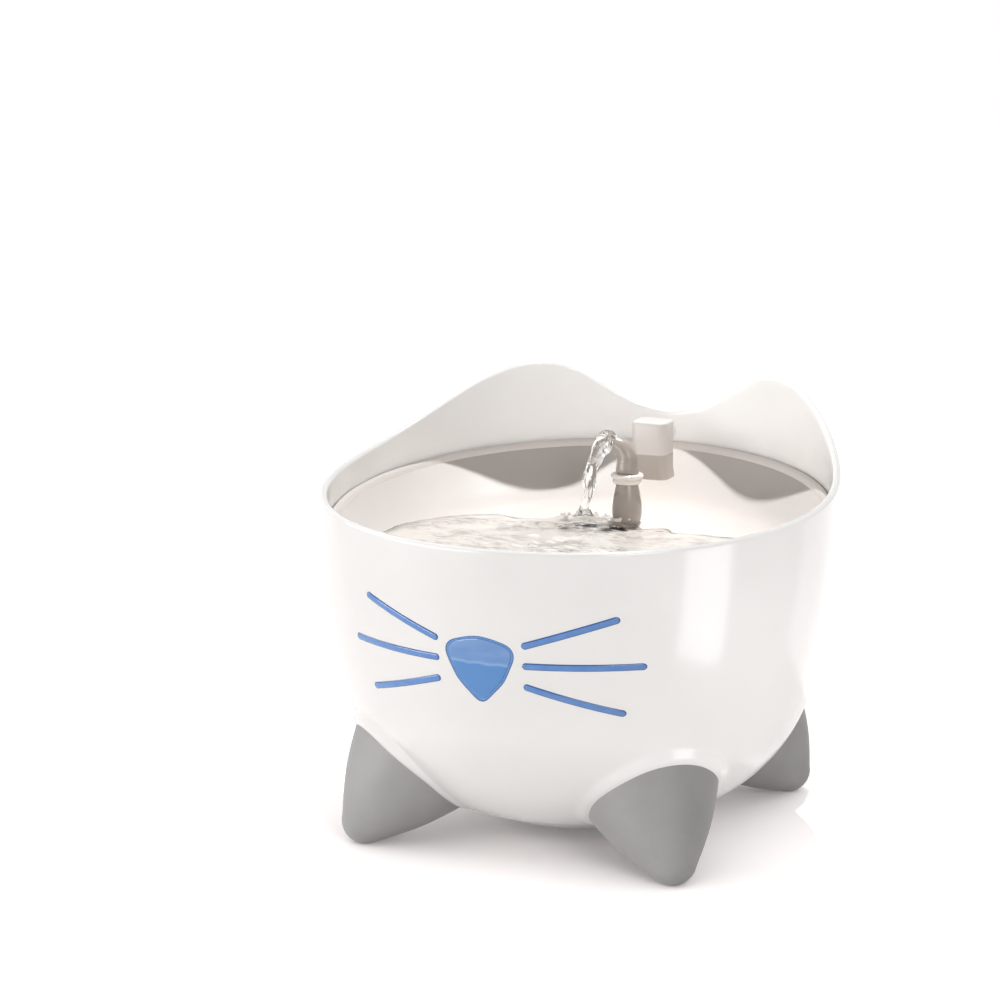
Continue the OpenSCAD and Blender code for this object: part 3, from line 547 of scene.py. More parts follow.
class Palette:
    """Every finish of the fountain, each built once."""

    def __init__(self) -> None:
        """Builds the materials."""
        self.shell = self._moulded(
            "gloss_shell", (243, 241, 239), (239, 237, 235), 0.2, 0.03, 22.0, 260.0, 0.000004, 0.5, 0.11
        )
        self.tray = self._moulded(
            "tray_plastic", (222, 214, 208), (219, 211, 205), 0.34, 0.05, 30.0, 1400.0, 0.000006
        )
        self.spout = self._moulded(
            "spout_plastic", (162, 152, 144), (158, 148, 140), 0.3, 0.05, 60.0, 1200.0, 0.000006, 0.12
        )
        self.hood = self._moulded(
            "lead_cover_cap", (216, 209, 205), (213, 206, 202), 0.34, 0.04, 30.0, 1400.0, 0.000004
        )
        self.hood_base = self._moulded(
            "lead_cover_base", (184, 175, 168), (180, 171, 164), 0.38, 0.04, 30.0, 1400.0, 0.000004
        )
        self.collar = self._moulded(
            "milky_collar", (234, 227, 221), (227, 220, 214), 0.18, 0.04, 80.0, 700.0, 0.000006, 0.5, 0.05, 0.1
        )
        self.boot = SoftTouchRubber("soft_grey_boot", tone(156, 155, 154), tone(166, 165, 164)).material()
        self.grommet = SoftTouchRubber("pale_grommet", tone(228, 225, 222), tone(232, 229, 226), 0.5).material()
        self.cup = SoftTouchRubber("cup_rubber", tone(120, 124, 128), tone(140, 143, 146), 0.4).material()
        self.seal = SoftTouchRubber("dark_seal", tone(40, 41, 44), tone(56, 57, 60), 0.45).material()
        # The seal's third colour is painted shade on its rounded edges and down into the gap round it.
        self.blue_seal = InlayWithPaintedEdgeShade(
            "blue_seal", tone(96, 150, 214), tone(88, 142, 208), tone(50, 94, 160), 0.25
        ).material()
        self.window = TintedWindow(
            "blue_window", tone(82, 146, 214), tone(106, 152, 214), tone(146, 184, 230), TANK_LEVEL
        ).material()
        # The whiskers' third colour is painted shade on their rounded edges and in the gap round them.
        self.whisker = InlayWithPaintedEdgeShade(
            "blue_inlay", tone(78, 132, 204), tone(94, 144, 208), tone(42, 84, 150), 0.2
        ).material()
        # The pool and the falling water carry painted dark wave lines, rims and rings in their colour.
        self.pool = ClearWater(
            "pool_water", wave=125.0, line_width=0.075, lines=0.72, edge=0.1, bump=0.0003, rings=True
        ).material()
        self.jet = ClearWater("jet_water", wave=210.0, stretch=(1.2, 1.2, 0.4), edge=0.9, lines=0.85).material()
        self.foam_drops = self._moulded("foam_drops", (236, 231, 226), (206, 198, 190), 0.12, 0.04, 420.0)
        self.tank = ClearWater("tank_water", tint=(0.9, 0.96, 1.0, 1.0), lines=0.0, edge=0.0).material()
        self.housing = self._moulded(
            "pump_plastic", (58, 60, 64), (50, 52, 56), 0.42, 0.07, 120.0, 1600.0, 0.00004
        )
        self.slider = self._moulded(
            "slider_plastic", (206, 200, 194), (196, 190, 184), 0.35, 0.05, 120.0, 1300.0, 0.00002
        )
        self.frost = self._moulded(
            "frosted_riser", (228, 231, 234), (214, 218, 222), 0.3, 0.06, 70.0, 500.0, 0.00003, 0.2, 0.1, 0.5
        )
        self.rotor = self._moulded(
            "impeller_plastic", (232, 232, 228), (222, 222, 218), 0.3, 0.05, 150.0, 1200.0, 0.00002
        )
        self.potting = self._moulded(
            "potting_resin", (26, 26, 28), (34, 34, 36), 0.16, 0.08, 45.0, 160.0, 0.0001
        )
        self.magnet = self._moulded(
            "ferrite_magnet", (62, 62, 66), (50, 50, 54), 0.5, 0.08, 200.0, 2600.0, 0.00005
        )
        self.ceramic = self._moulded(
            "ceramic_shaft", (238, 236, 230), (228, 226, 220), 0.15, 0.04, 100.0, 900.0, 0.00001, 0.4
        )
        self.steel = BrushedMetal("laminated_core", tone(168, 170, 176), 0.35, (40, 1, 1)).material()
        self.copper = LacqueredWinding("copper_winding", tone(198, 112, 60)).material()
        self.foam = OpenFoam("filter_foam_cells", tone(226, 224, 218), tone(120, 118, 114)).material()
        self.carbon = CarbonGranules("filter_carbon", tone(30, 30, 32), tone(74, 74, 78)).material()

    @staticmethod
    def _moulded(
        name: str, colour: tuple[int, int, int], shade: tuple[int, int, int], *surface: float
    ) -> bpy.types.Material:
        """Builds a moulded plastic.

        Args:
            name: Name of the material.
            colour: Its main screen colour.
            shade: The screen colour of its mottle.
            surface: The further values of MouldedPlastic, in their order.

        Returns:
            The material.
        """
        return MouldedPlastic(name, tone(*colour), tone(*shade), *surface).material()


# ---- The bench: modelling steps that the pieces share ----

MM = 0.001


class Bench:
    """Modelling steps, with every size in millimetres."""

    @staticmethod
    def clear() -> None:
        """Leaves edit mode and deselects everything."""
        if bpy.context.mode != "OBJECT":
            bpy.ops.object.mode_set(mode="OBJECT")
        bpy.ops.object.select_all(action="DESELECT")

    @staticmethod
    def take(*pieces: bpy.types.Object) -> None:
        """Selects these pieces alone, the first one active."""
        Bench.clear()
        for piece in pieces:
            piece.select_set(True)
        bpy.context.view_layer.objects.active = pieces[0]

    @staticmethod
    def edit(piece: bpy.types.Object) -> None:
        """Opens a piece in edit mode with all of it selected."""
        Bench.take(piece)
        bpy.ops.object.mode_set(mode="EDIT")
        bpy.ops.mesh.select_all(action="SELECT")

    @staticmethod
    def close(piece: bpy.types.Object) -> None:
        """Merges doubled points and turns the faces outwards."""
        Bench.edit(piece)
        bpy.ops.mesh.remove_doubles(threshold=0.000001)
        bpy.ops.mesh.normals_make_consistent(inside=False)
        bpy.ops.object.mode_set(mode="OBJECT")

    @staticmethod
    def started(name: str) -> bpy.types.Object:
        """Names the newest primitive and puts its place into its mesh."""
        piece = bpy.context.active_object
        Bench.take(piece)
        bpy.ops.object.transform_apply(location=True, rotation=True, scale=True)
        piece.name = name
        piece.data.name = name
        return piece

    @staticmethod
    def points(piece: bpy.types.Object) -> np.ndarray:
        """Returns a piece's points in millimetres."""
        flat = np.empty(len(piece.data.vertices) * 3, dtype=np.float32)
        piece.data.vertices.foreach_get("co", flat)
        return flat.reshape(-1, 3).astype(float) / MM

    @staticmethod
    def put(piece: bpy.types.Object, spots: np.ndarray) -> None:
        """Moves a piece's points to these places in millimetres."""
        piece.data.vertices.foreach_set("co", (spots * MM).astype(np.float32).ravel())
        piece.data.update()

    @staticmethod
    def turned(name: str, outline: Sequence[Point2], steps: int = 96) -> bpy.types.Object:
        """Spins an outline about the Z axis.

        Args:
            name: Name of the piece.
            outline: Radius and height of each point, in order.
            steps: Number of columns.

        Returns:
            The piece, closed and with its faces outwards.
        """
        Bench.clear()
        first = outline[0]
        bpy.ops.mesh.primitive_plane_add(size=MM, location=(first[0] * MM, 0, first[1] * MM))
        piece = Bench.started(name)
        Bench.edit(piece)
        bpy.ops.mesh.merge(type="CENTER")
        for last, spot in zip(outline, outline[1:]):
            move = ((spot[0] - last[0]) * MM, 0, (spot[1] - last[1]) * MM)
            bpy.ops.mesh.extrude_vertices_move(TRANSFORM_OT_translate={"value": move})
        bpy.ops.mesh.select_all(action="SELECT")
        bpy.ops.mesh.spin(steps=steps, angle=math.tau, center=(0, 0, 0), axis=(0, 0, 1), use_auto_merge=True)
        Bench.close(piece)
        return piece

    @staticmethod
    def lofted(
        name: str, sections: Sequence[np.ndarray], edges: Sequence[float] | None = None
    ) -> bpy.types.Object:
        """Extrudes a ring through sections and closes it where they fall together.

        Args:
            name: Name of the piece.
            sections: Rings of points, each with the same number of points, a multiple of four.
            edges: How far each section counts as an edge, kept as the attribute "edge", which the inlay and
                water materials use to paint shade at edges and shores.

        Returns:
            The piece, with its faces outwards.
        """
        count = len(sections[0])
        Bench.clear()
        bpy.ops.mesh.primitive_circle_add(vertices=count, radius=1.0, fill_type="NOTHING")
        piece = Bench.started(name)
        Bench.edit(piece)
        for _ in sections[1:]:
            bpy.ops.mesh.extrude_region_move(TRANSFORM_OT_translate={"value": (0, 0, 1)})
        bpy.ops.object.mode_set(mode="OBJECT")
        spots = Bench.points(piece) * MM
        row = np.rint(spots[:, 2]).astype(int)
        station = np.rint(np.arctan2(spots[:, 1], spots[:, 0]) / math.tau * count).astype(int) % count
        Bench.put(piece, np.stack(sections)[row, station])
        if edges is not None:
            mark = piece.data.attributes.new("edge", "FLOAT", "POINT")
            mark.data.foreach_set("value", np.array(edges, dtype=np.float32)[row])
        Bench.close(piece)
        return piece

    @staticmethod
    def block(name: str, size: Sequence[float], centre: Sequence[float]) -> bpy.types.Object:
        """Adds a block of this size at this place, ready to be shaped."""
        Bench.clear()
        bpy.ops.mesh.primitive_cube_add(size=1.0, location=Vector(centre) * MM, scale=Vector(size) * MM)
        return Bench.started(name)

    @staticmethod
    def pick_edges(piece: bpy.types.Object, wanted: Callable[[np.ndarray, np.ndarray], bool]) -> None:
        """Selects the edges whose two end points, in millimetres, pass a test."""
        Bench.edit(piece)
        bpy.ops.mesh.select_all(action="DESELECT")
        bpy.ops.mesh.select_mode(type="EDGE")
        bpy.ops.object.mode_set(mode="OBJECT")
        spots = Bench.points(piece)
        for edge in piece.data.edges:
            edge.select = bool(wanted(spots[edge.vertices[0]], spots[edge.vertices[1]]))
        bpy.ops.object.mode_set(mode="EDIT")

    @staticmethod
    def round_picked(width: float, segments: int = 3) -> None:
        """Bevels the selected edges and leaves edit mode."""
        bpy.ops.mesh.bevel(offset=width * MM, segments=segments, profile=0.5, affect="EDGES")
        bpy.ops.mesh.select_mode(type="VERT")
        bpy.ops.object.mode_set(mode="OBJECT")

    @staticmethod
    def cut(piece: bpy.types.Object, cutter: bpy.types.Object) -> None:
        """Cuts one solid out of another and drops the cutter."""
        Bench.take(piece)
        tool = piece.modifiers.new("cut", "BOOLEAN")
        tool.object = cutter
        tool.operation = "DIFFERENCE"
        tool.solver = "EXACT"
        bpy.ops.object.modifier_apply(modifier=tool.name)
        bpy.data.objects.remove(cutter, do_unlink=True)

    @staticmethod
    def join(piece: bpy.types.Object, *others: bpy.types.Object) -> None:
        """Joins further solids to a piece of the same body."""
        Bench.take(piece, *others)
        bpy.ops.object.join()

    @staticmethod
    def turn(piece: bpy.types.Object, degrees: float, axis: str) -> None:
        """Turns a piece's points about one of the frame's axes."""
        spin = Matrix.Rotation(math.radians(degrees), 3, axis)
        Bench.put(piece, Bench.points(piece) @ np.array(spin).T)

    @staticmethod
    def shift(piece: bpy.types.Object, move: Sequence[float]) -> None:
        """Moves a piece's points."""
        Bench.edit(piece)
        bpy.ops.transform.translate(value=Vector(move) * MM)
        bpy.ops.object.mode_set(mode="OBJECT")

    @staticmethod
    def smooth(piece: bpy.types.Object, degrees: float = 38.0) -> None:
        """Shades a piece smooth, with sharp edges past an angle."""
        Bench.take(piece)
        bpy.ops.object.shade_smooth_by_angle(angle=math.radians(degrees), keep_sharp_edges=False)

    @staticmethod
    def dress(
        piece: bpy.types.Object,
        finish: bpy.types.Material,
        body: Body,
        slot: str,
        *nodes: str,
        smooth: float = 38.0,
    ) -> bpy.types.Object:
        """Gives a piece its finish, its body and the nodes it stands for.

        Args:
            piece: The piece.
            finish: Its material.
            body: The body it rides on.
            slot: The record's material slot; not used.
            nodes: The CAD nodes that it replaces.
            smooth: Angle past which an edge stays sharp, or zero for none.

        Returns:
            The same piece.
        """
        if smooth:
            Bench.smooth(piece, smooth)
        piece.data.materials.clear()
        piece.data.materials.append(finish)
        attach(piece, body.value)
        if nodes:
            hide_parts(*nodes)
        log.info("%s: %d faces, rides on %s", piece.name, len(piece.data.polygons), body.value)
        return piece


def arc(centre: Point2, radius: float, start: float, end: float, steps: int) -> list[Point2]:
    """Returns points along an arc, both ends included, with angles in degrees."""
    turns = np.radians(np.linspace(start, end, steps + 1))
    return [(centre[0] + radius * math.cos(t), centre[1] + radius * math.sin(t)) for t in turns]


def line(start: Point2, end: Point2, steps: int) -> list[Point2]:
    """Returns points along a line, without its first."""
    return [
        (start[0] + (end[0] - start[0]) * k / steps, start[1] + (end[1] - start[1]) * k / steps)
        for k in range(1, steps + 1)
    ]


def smoothstep(value: np.ndarray, low: float, high: float) -> np.ndarray:
    """Rises smoothly from 0 at low to 1 at high."""
    share = np.clip((value - low) / (high - low), 0, 1)
    return share * share * (3 - 2 * share)


def even_loop(loop: np.ndarray, count: int) -> np.ndarray:
    """Spaces points evenly along a closed loop."""
    closed = np.vstack([loop, loop[:1]])
    run = np.concatenate([[0], np.cumsum(np.linalg.norm(np.diff(closed, axis=0), axis=1))])
    marks = np.linspace(0, run[-1], count, endpoint=False)
    return np.stack([np.interp(marks, run, closed[:, k]) for k in range(loop.shape[1])], axis=1)


# ---- Forms: where the bowl's wall, its rim and the dish lie ----


@dataclass(frozen=True)
class BowlForm:
    """Round bowl: a flat base, a sloped skirt, a tight knee and a nearly upright side."""

    rim_r: float = 110.0
    wall: float = 3.2
    base_z: float = 5.5
    belly_z: float = 140.0
    side_bend: float = 305.0
    knee_z: float = 60.0
    knee_bend: float = 68.6
    skirt_slope: float = 21.0
    rim_front_z: float = 141.4
    rim_rise: float = 18.5
    ear_rise: float = 23.9
    ear_turn: float = 146.0

    def side_turn(self) -> float:
        """Returns the angle at which the side meets the knee."""
        return math.asin((self.belly_z - self.knee_z) / self.side_bend)

    def knee_centre(self) -> Point2:
        """Returns radius and height of the knee's centre."""
        reach = self.side_bend - self.knee_bend
        turn = self.side_turn()
        return (self.rim_r - self.side_bend + reach * math.cos(turn), self.belly_z - reach * math.sin(turn))

    def radius_at(self, z: np.ndarray, inset: float = 0.0) -> np.ndarray:
        """Returns the wall's radius at a height, at a depth below the outside."""
        z = np.asarray(z, dtype=float)
        side_r = self.side_bend - inset
        side = self.rim_r - self.side_bend + np.sqrt(side_r**2 - np.clip(self.belly_z - z, 0, side_r) ** 2)
        knee_x, knee_z = self.knee_centre()
        knee_r = self.knee_bend - inset
        knee = knee_x + np.sqrt(np.maximum(knee_r**2 - (knee_z - z) ** 2, 0))
        low = math.radians(90 - self.skirt_slope)
        skirt_z = knee_z - knee_r * math.sin(low)
        skirt = knee_x + knee_r * math.cos(low) - (skirt_z - z) * math.tan(low)
        split = self.belly_z - side_r * math.sin(self.side_turn())
        return np.where(z >= split, side, np.where(z >= skirt_z, knee, skirt))

    def normal_at(self, spots: np.ndarray) -> np.ndarray:
        """Returns the outward directions at points on the wall."""
        r = np.hypot(spots[:, 0], spots[:, 1])
        z = spots[:, 2]
        knee_x, knee_z = self.knee_centre()
        split = self.belly_z - self.side_bend * math.sin(self.side_turn())
        low = math.radians(90 - self.skirt_slope)
        out = np.where(z >= split, r - self.rim_r + self.side_bend, r - knee_x)
        up = np.where(z >= self.belly_z, 0, np.where(z >= split, z - self.belly_z, z - knee_z))
        under = z < knee_z - self.knee_bend * math.sin(low)
        out = np.where(under, math.cos(low), out)
        up = np.where(under, -math.sin(low), up)
        size = np.hypot(out, up)
        around = spots[:, :2] / np.maximum(r, 0.001)[:, None]
        return np.column_stack([around * (out / size)[:, None], up / size])

    def rows(self, inset: float, knee_steps: int, side_steps: int) -> list[Point2]:
        """Returns the wall's outline from the axis up to the belly's height."""
        knee = self.knee_centre()
        knee_r = self.knee_bend - inset
        low = 90 - self.skirt_slope
        top = (knee[0] + knee_r * math.cos(math.radians(low)), knee[1] - knee_r * math.sin(math.radians(low)))
        floor_z = self.base_z + inset
        start = (top[0] - (top[1] - floor_z) * math.tan(math.radians(low)), floor_z)
        turn = math.degrees(self.side_turn())
        side_centre = (self.rim_r - self.side_bend, self.belly_z)
        rows = [(0.0, floor_z)] + line((0.0, floor_z), start, 4) + line(start, top, 10)
        rows += arc(knee, knee_r, -low, -turn, knee_steps)[1:]
        return rows + arc(side_centre, self.side_bend - inset, -turn, 0, side_steps)[1:]

    def rim_z(self, spots: np.ndarray) -> np.ndarray:
        """Returns the rim's height in the direction of each point."""
        turn = np.degrees(np.abs(np.arctan2(spots[:, 0], -spots[:, 1])))
        back = ((1 - np.cos(np.radians(turn))) / 2) ** 1.5
        past = np.abs(turn - self.ear_turn)
        front_side = np.exp(-((past / 26.5) ** 1.9))
        rear_side = np.exp(-((past / 20.3) ** 2.6))
        return self.rim_front_z + self.rim_rise * back + self.ear_rise * np.where(
            turn < self.ear_turn, front_side, rear_side
        )

    def on_face(self, x: np.ndarray, z: np.ndarray, inset: np.ndarray | float = 0.0) -> np.ndarray:
        """Returns points of the front wall at x and z, at a depth below its outside."""
        x = np.asarray(x, dtype=float)
        z = np.asarray(z, dtype=float)
        flat = np.column_stack([x, -np.sqrt(self.radius_at(z) ** 2 - x**2), z])
        return flat - self.normal_at(flat) * np.reshape(np.asarray(inset, dtype=float), (-1, 1))


@dataclass(frozen=True)
class DishForm:
    """Drinking dish: flat floor, filleted edge and sloped wall, tipped towards the front."""

    height: float = 136.1
    tip: float = 5.8
    edge_r: float = 106.4
    dish_r: float = 104.2
    depth: float = 23.1
    fillet: float = 12.0
    wall_slope: float = 58.0
    thickness: float = 2.5
    skirt: float = 9.0

    def floor_r(self) -> float:
        """Returns the radius at which the floor's fillet starts."""
        slope = math.radians(self.wall_slope)
        rise = self.depth - self.fillet * (1 - math.cos(slope))
        return self.dish_r - rise / math.tan(slope) - self.fillet * math.sin(slope)

    def depth_at(self, radius: np.ndarray) -> np.ndarray:
        """Returns the dish's height below its edge, at radii of its own frame."""
        start = self.floor_r()
        slope = math.radians(self.wall_slope)
        bend = np.clip(radius - start, 0, self.fillet * math.sin(slope))
        curve = -self.depth + self.fillet - np.sqrt(self.fillet**2 - bend**2)
        wall = (radius - self.dish_r) * math.tan(slope)
        return np.where(radius < start + self.fillet * math.sin(slope), curve, wall)

    def height_at(self, x: np.ndarray, y: np.ndarray) -> np.ndarray:
        """Returns the height of the tipped dish over a point of the floor."""
        tip = math.radians(self.tip)
        z = np.full(np.broadcast(x, y).shape, self.height - self.depth)
        for _ in range(6):
            along = y * math.cos(tip) + (z - self.height) * math.sin(tip)
            z = self.height + along * math.sin(tip) + self.depth_at(np.hypot(x, along)) * math.cos(tip)
        return z


FORM = BowlForm()
DISH = DishForm()
ON_WALL = 0.02  # How near a point of the mesh lies to the form's wall, in millimetres


# ---- Bowl ----


@dataclass
class Bowl:
    """White gloss bowl with two ears, collars for its feet and an opening for the window."""

    palette: Palette
    columns: int = 360
    lip_r: float = 1.4
    top_z: float = 160.0
    stretch_from: float = 100.0
    collar_rise: float = 2.5
    collar_side_rise: float = 0.7
    collar_out: float = 1.6
    grommet_r: float = 4.3
    grommet_z: float = 151.0
    cutter_length: float = 20.0
    ledge_inner_r: float = 102.6
    ledge_outer_r: float = 108.5
    ledge_h: float = 3.0
    ledge_sunk: float = 1.2
    seat_size: tuple[float, float, float] = (48.0, 54.0, 19.5)
    seat_middle: tuple[float, float, float] = (0.0, 43.7, 17.25)
    seat_corner: float = 6.0
    seat_edge: float = 1.0
    true_band: tuple[float, float] = (64.0, 128.0)

    def build(self) -> bpy.types.Object:
        """Builds and dresses the bowl."""
        shell = Bench.turned("bowl_shell", self._outline(), self.columns)
        spots = Bench.points(shell)
        spots = self._raise_collars(self._follow_rim(spots))
        Bench.put(shell, spots)
        Bench.cut(shell, self._face_cutter())
        Bench.cut(shell, self._grommet_cutter())
        Bench.join(shell, self._ledge(), self._pedestal())
        Bench.dress(shell, self.palette.shell, Body.RESERVOIR, "shell", "reservoir_shell", smooth=40.0)
        self._true_face(shell)
        return shell

    def _outline(self) -> list[Point2]:
        """Returns the bowl's section, from the axis over the rim and back to the axis."""
        outside = FORM.rows(0.0, 54, 40)
        lip_z = self.top_z - self.lip_r
        belly = (FORM.rim_r, FORM.belly_z)
        outside += line(belly, (FORM.rim_r, lip_z), 9)
        inner_r = FORM.rim_r - FORM.wall
        lip = arc((FORM.rim_r - self.lip_r, lip_z), self.lip_r, 0, 90, 6)[1:]
        lip += arc((inner_r + self.lip_r, lip_z), self.lip_r, 90, 180, 6)
        inside = FORM.rows(FORM.wall, 20, 26)[::-1]
        return outside + lip + line((inner_r, lip_z), (inner_r, FORM.belly_z), 9)[:-1] + inside

    def _follow_rim(self, spots: np.ndarray) -> np.ndarray:
        """Raises the upper wall to the wavy rim and its ears."""
        moved = spots.copy()
        rim = FORM.rim_z(spots)
        lip_z = self.top_z - self.lip_r
        share = (rim - self.lip_r - self.stretch_from) / (lip_z - self.stretch_from)
        body = self.stretch_from + (spots[:, 2] - self.stretch_from) * share
        z = np.where(spots[:, 2] > lip_z, rim - self.top_z + spots[:, 2], body)
        z = np.where(spots[:, 2] > self.stretch_from, z, spots[:, 2])
        r = np.hypot(spots[:, 0], spots[:, 1])
        scale = (r + FORM.radius_at(z) - FORM.radius_at(spots[:, 2])) / np.maximum(r, 0.001)
        moved[:, 0] *= scale
        moved[:, 1] *= scale
        moved[:, 2] = z
        return moved

    def _raise_collars(self, spots: np.ndarray) -> np.ndarray:
        """Lifts a soft collar out of the wall around each foot."""
        r = np.hypot(spots[:, 0], spots[:, 1])
        outside = (np.abs(r - FORM.radius_at(spots[:, 2])) < ON_WALL) & (spots[:, 2] < 90)
        outside &= spots[:, 2] > FORM.base_z + 0.01
        normals = FORM.normal_at(spots)
        lift = np.zeros(len(spots))
        for place in FootPlace:
            foot = Boot(place)
            along, away = foot.split(spots)
            past = away - foot.radius_at(along) - self.collar_out
            crest = smoothstep(foot.height_share(spots), -0.1, 0.9)
            rise = self.collar_side_rise + (self.collar_rise - self.collar_side_rise) * crest
            rise *= 1 - smoothstep(past, -1.2, 3.4)
            lift = np.maximum(lift, np.where(np.abs(along) < 40, rise, 0))
        return spots + normals * np.where(outside, lift, 0)[:, None]

    def _face_cutter(self) -> bpy.types.Object:
        """Returns the solid that opens the wall for the level window."""
        ring = NoseOutline().loop(0.0)
        middle = ring.mean(axis=0)
        front = np.column_stack([ring[:, 0], np.full(len(ring), -130.0), ring[:, 1]])
        rear = front * [1, 0, 1] + [0, -70, 0]
        centre = np.array([[middle[0], 0, middle[1]]] * len(ring))
        return Bench.lofted("face_cutter", [centre + [0, -130, 0], front, rear, centre + [0, -70, 0]])

    def _grommet_cutter(self) -> bpy.types.Object:
        """Returns the solid that opens the rear wall for the lead's grommet."""
        Bench.clear()
        bpy.ops.mesh.primitive_cylinder_add(
            vertices=48,
            radius=self.grommet_r * MM,
            depth=self.cutter_length * MM,
            location=(0, 108 * MM, self.grommet_z * MM),
            rotation=(math.pi / 2, 0, 0),
        )
        return Bench.started("grommet_cutter")

    def _ledge(self) -> bpy.types.Object:
        """Returns the tipped ledge that carries the tray."""
        inner, outer = self.ledge_inner_r, self.ledge_outer_r
        top = -DISH.skirt
        low = top - self.ledge_h
        rows = [(inner, low), (inner, top), (outer, top), (outer, low), (inner, low)]
        ledge = Bench.turned("tray_ledge", rows, 180)
        Bench.turn(ledge, DISH.tip, "X")
        Bench.shift(ledge, (0, 0, DISH.height))
        spots = Bench.points(ledge)
        reach = FORM.radius_at(spots[:, 2], self.ledge_sunk) / np.hypot(spots[:, 0], spots[:, 1])
        spots[:, :2] *= np.minimum(reach, 1)[:, None]
        Bench.put(ledge, spots)
        return ledge

    def _pedestal(self) -> bpy.types.Object:
        """Returns the raised seat for the pump on the bowl's floor."""
        seat = Bench.block("pump_pedestal", self.seat_size, self.seat_middle)
        top = self.seat_middle[2] + self.seat_size[2] / 2
        Bench.pick_edges(seat, lambda a, b: abs(a[2] - b[2]) > 1)
        Bench.round_picked(self.seat_corner, 6)
        Bench.pick_edges(seat, lambda a, b: min(a[2], b[2]) > top - 0.1)
        Bench.round_picked(self.seat_edge, 3)
        return seat

    def _true_face(self, shell: bpy.types.Object) -> None:
        """Gives the wall round the window the form's own normals, so that it shades evenly."""
        mesh = shell.data
        spots = Bench.points(shell)
        r = np.hypot(spots[:, 0], spots[:, 1])
        low, high = self.true_band
        on_wall = np.abs(r - FORM.radius_at(spots[:, 2])) < ON_WALL
        on_wall &= (spots[:, 2] > low) & (spots[:, 2] < high)
        normals = FORM.normal_at(spots)
        loops = np.zeros((len(mesh.loops), 3))
        for face in mesh.polygons:
            corners = list(face.vertices)
            if on_wall[corners].all():
                loops[list(face.loop_indices)] = normals[corners]
        mesh.normals_split_custom_set(loops)


@dataclass(frozen=True)
class Boot:
    """One foot: a leaning round cone with a domed tip that is cut flat by the floor."""

    place: FootPlace
    root_r: float = 78.0
    root_z: float = 31.0
    lean: float = 42.0
    wide: float = 28.0
    tip_r: float = 10.0
    belly: float = 1.6
    flat: float = 0.5

    def axis(self) -> np.ndarray:
        """Returns the direction from the bowl to the tip."""
        turn = math.radians(self.place.value[1])
        lean = math.radians(self.lean)
        return np.array([math.sin(turn) * math.sin(lean), -math.cos(turn) * math.sin(lean), -math.cos(lean)])

    def root(self) -> np.ndarray:
        """Returns the point on the bowl where the axis starts."""
        turn = math.radians(self.place.value[1])
        out = self.root_r + self.place.value[2] / MM
        return np.array([math.sin(turn) * out, -math.cos(turn) * out, self.root_z])

    def tip_run(self) -> float:
        """Returns how far along the axis the tip's centre lies."""
        return (self.root_z - self.tip_r + self.flat) / math.cos(math.radians(self.lean))

    def side_end(self) -> Point2:
        """Returns radius and run at which the side meets the tip."""
        run = self.tip_run()
        slope = math.asin((self.wide - self.tip_r) / math.hypot(run, self.wide))
        return (self.tip_r * math.cos(slope), run + self.tip_r * math.sin(slope))

    def radius_at(self, along: np.ndarray) -> np.ndarray:
        """Returns the side's radius at a run along the axis."""
        end_r, end_run = self.side_end()
        share = np.clip(along / end_run, 0, 1)
        return self.wide + (end_r - self.wide) * share + self.belly * np.sin(math.pi * share)

    def split(self, spots: np.ndarray) -> tuple[np.ndarray, np.ndarray]:
        """Returns how far points lie along the axis and away from it."""
        offset = spots - self.root()
        along = offset @ self.axis()
        away = np.linalg.norm(offset - along[:, None] * self.axis(), axis=1)
        return along, away

    def height_share(self, spots: np.ndarray) -> np.ndarray:
        """Returns how far up a point lies round the axis, from -1 below to 1 above."""
        offset = spots - self.root()
        away = offset - (offset @ self.axis())[:, None] * self.axis()
        return away[:, 2] / np.maximum(np.linalg.norm(away, axis=1), 0.001) / math.sin(math.radians(self.lean))

    def build(self, palette: Palette) -> bpy.types.Object:
        """Builds and dresses the boot."""
        end_r, end_run = self.side_end()
        runs = np.linspace(0, end_run, 30)
        rows = [(0.0, 2.5), (12.0, 1.4), (20.0, 0.3), (self.wide, -2.5), (self.wide, -1.2)]
        rows += [(float(self.radius_at(np.array(run))), float(run)) for run in runs]
        start = math.degrees(math.acos(end_r / self.tip_r))
        rows += arc((0, self.tip_run()), self.tip_r, start, 90, 14)[1:]
        boot = Bench.turned(self.place.value[0].replace("foot", "boot"), rows, 96)
        turn = Vector((0, 0, 1)).rotation_difference(Vector(self.axis())).to_matrix()
        Bench.put(boot, Bench.points(boot) @ np.array(turn).T + self.root())
        Bench.edit(boot)
        bpy.ops.mesh.bisect(plane_co=(0, 0, 0), plane_no=(0, 0, 1), clear_inner=True, use_fill=True)
        bpy.ops.object.mode_set(mode="OBJECT")
        Bench.pick_edges(boot, lambda a, b: max(abs(a[2]), abs(b[2])) < 0.001)
        Bench.round_picked(0.9, 3)
        return Bench.dress(boot, palette.boot, Body.RESERVOIR, "foot_rubber", self.place.value[0])


# ---- Face ----


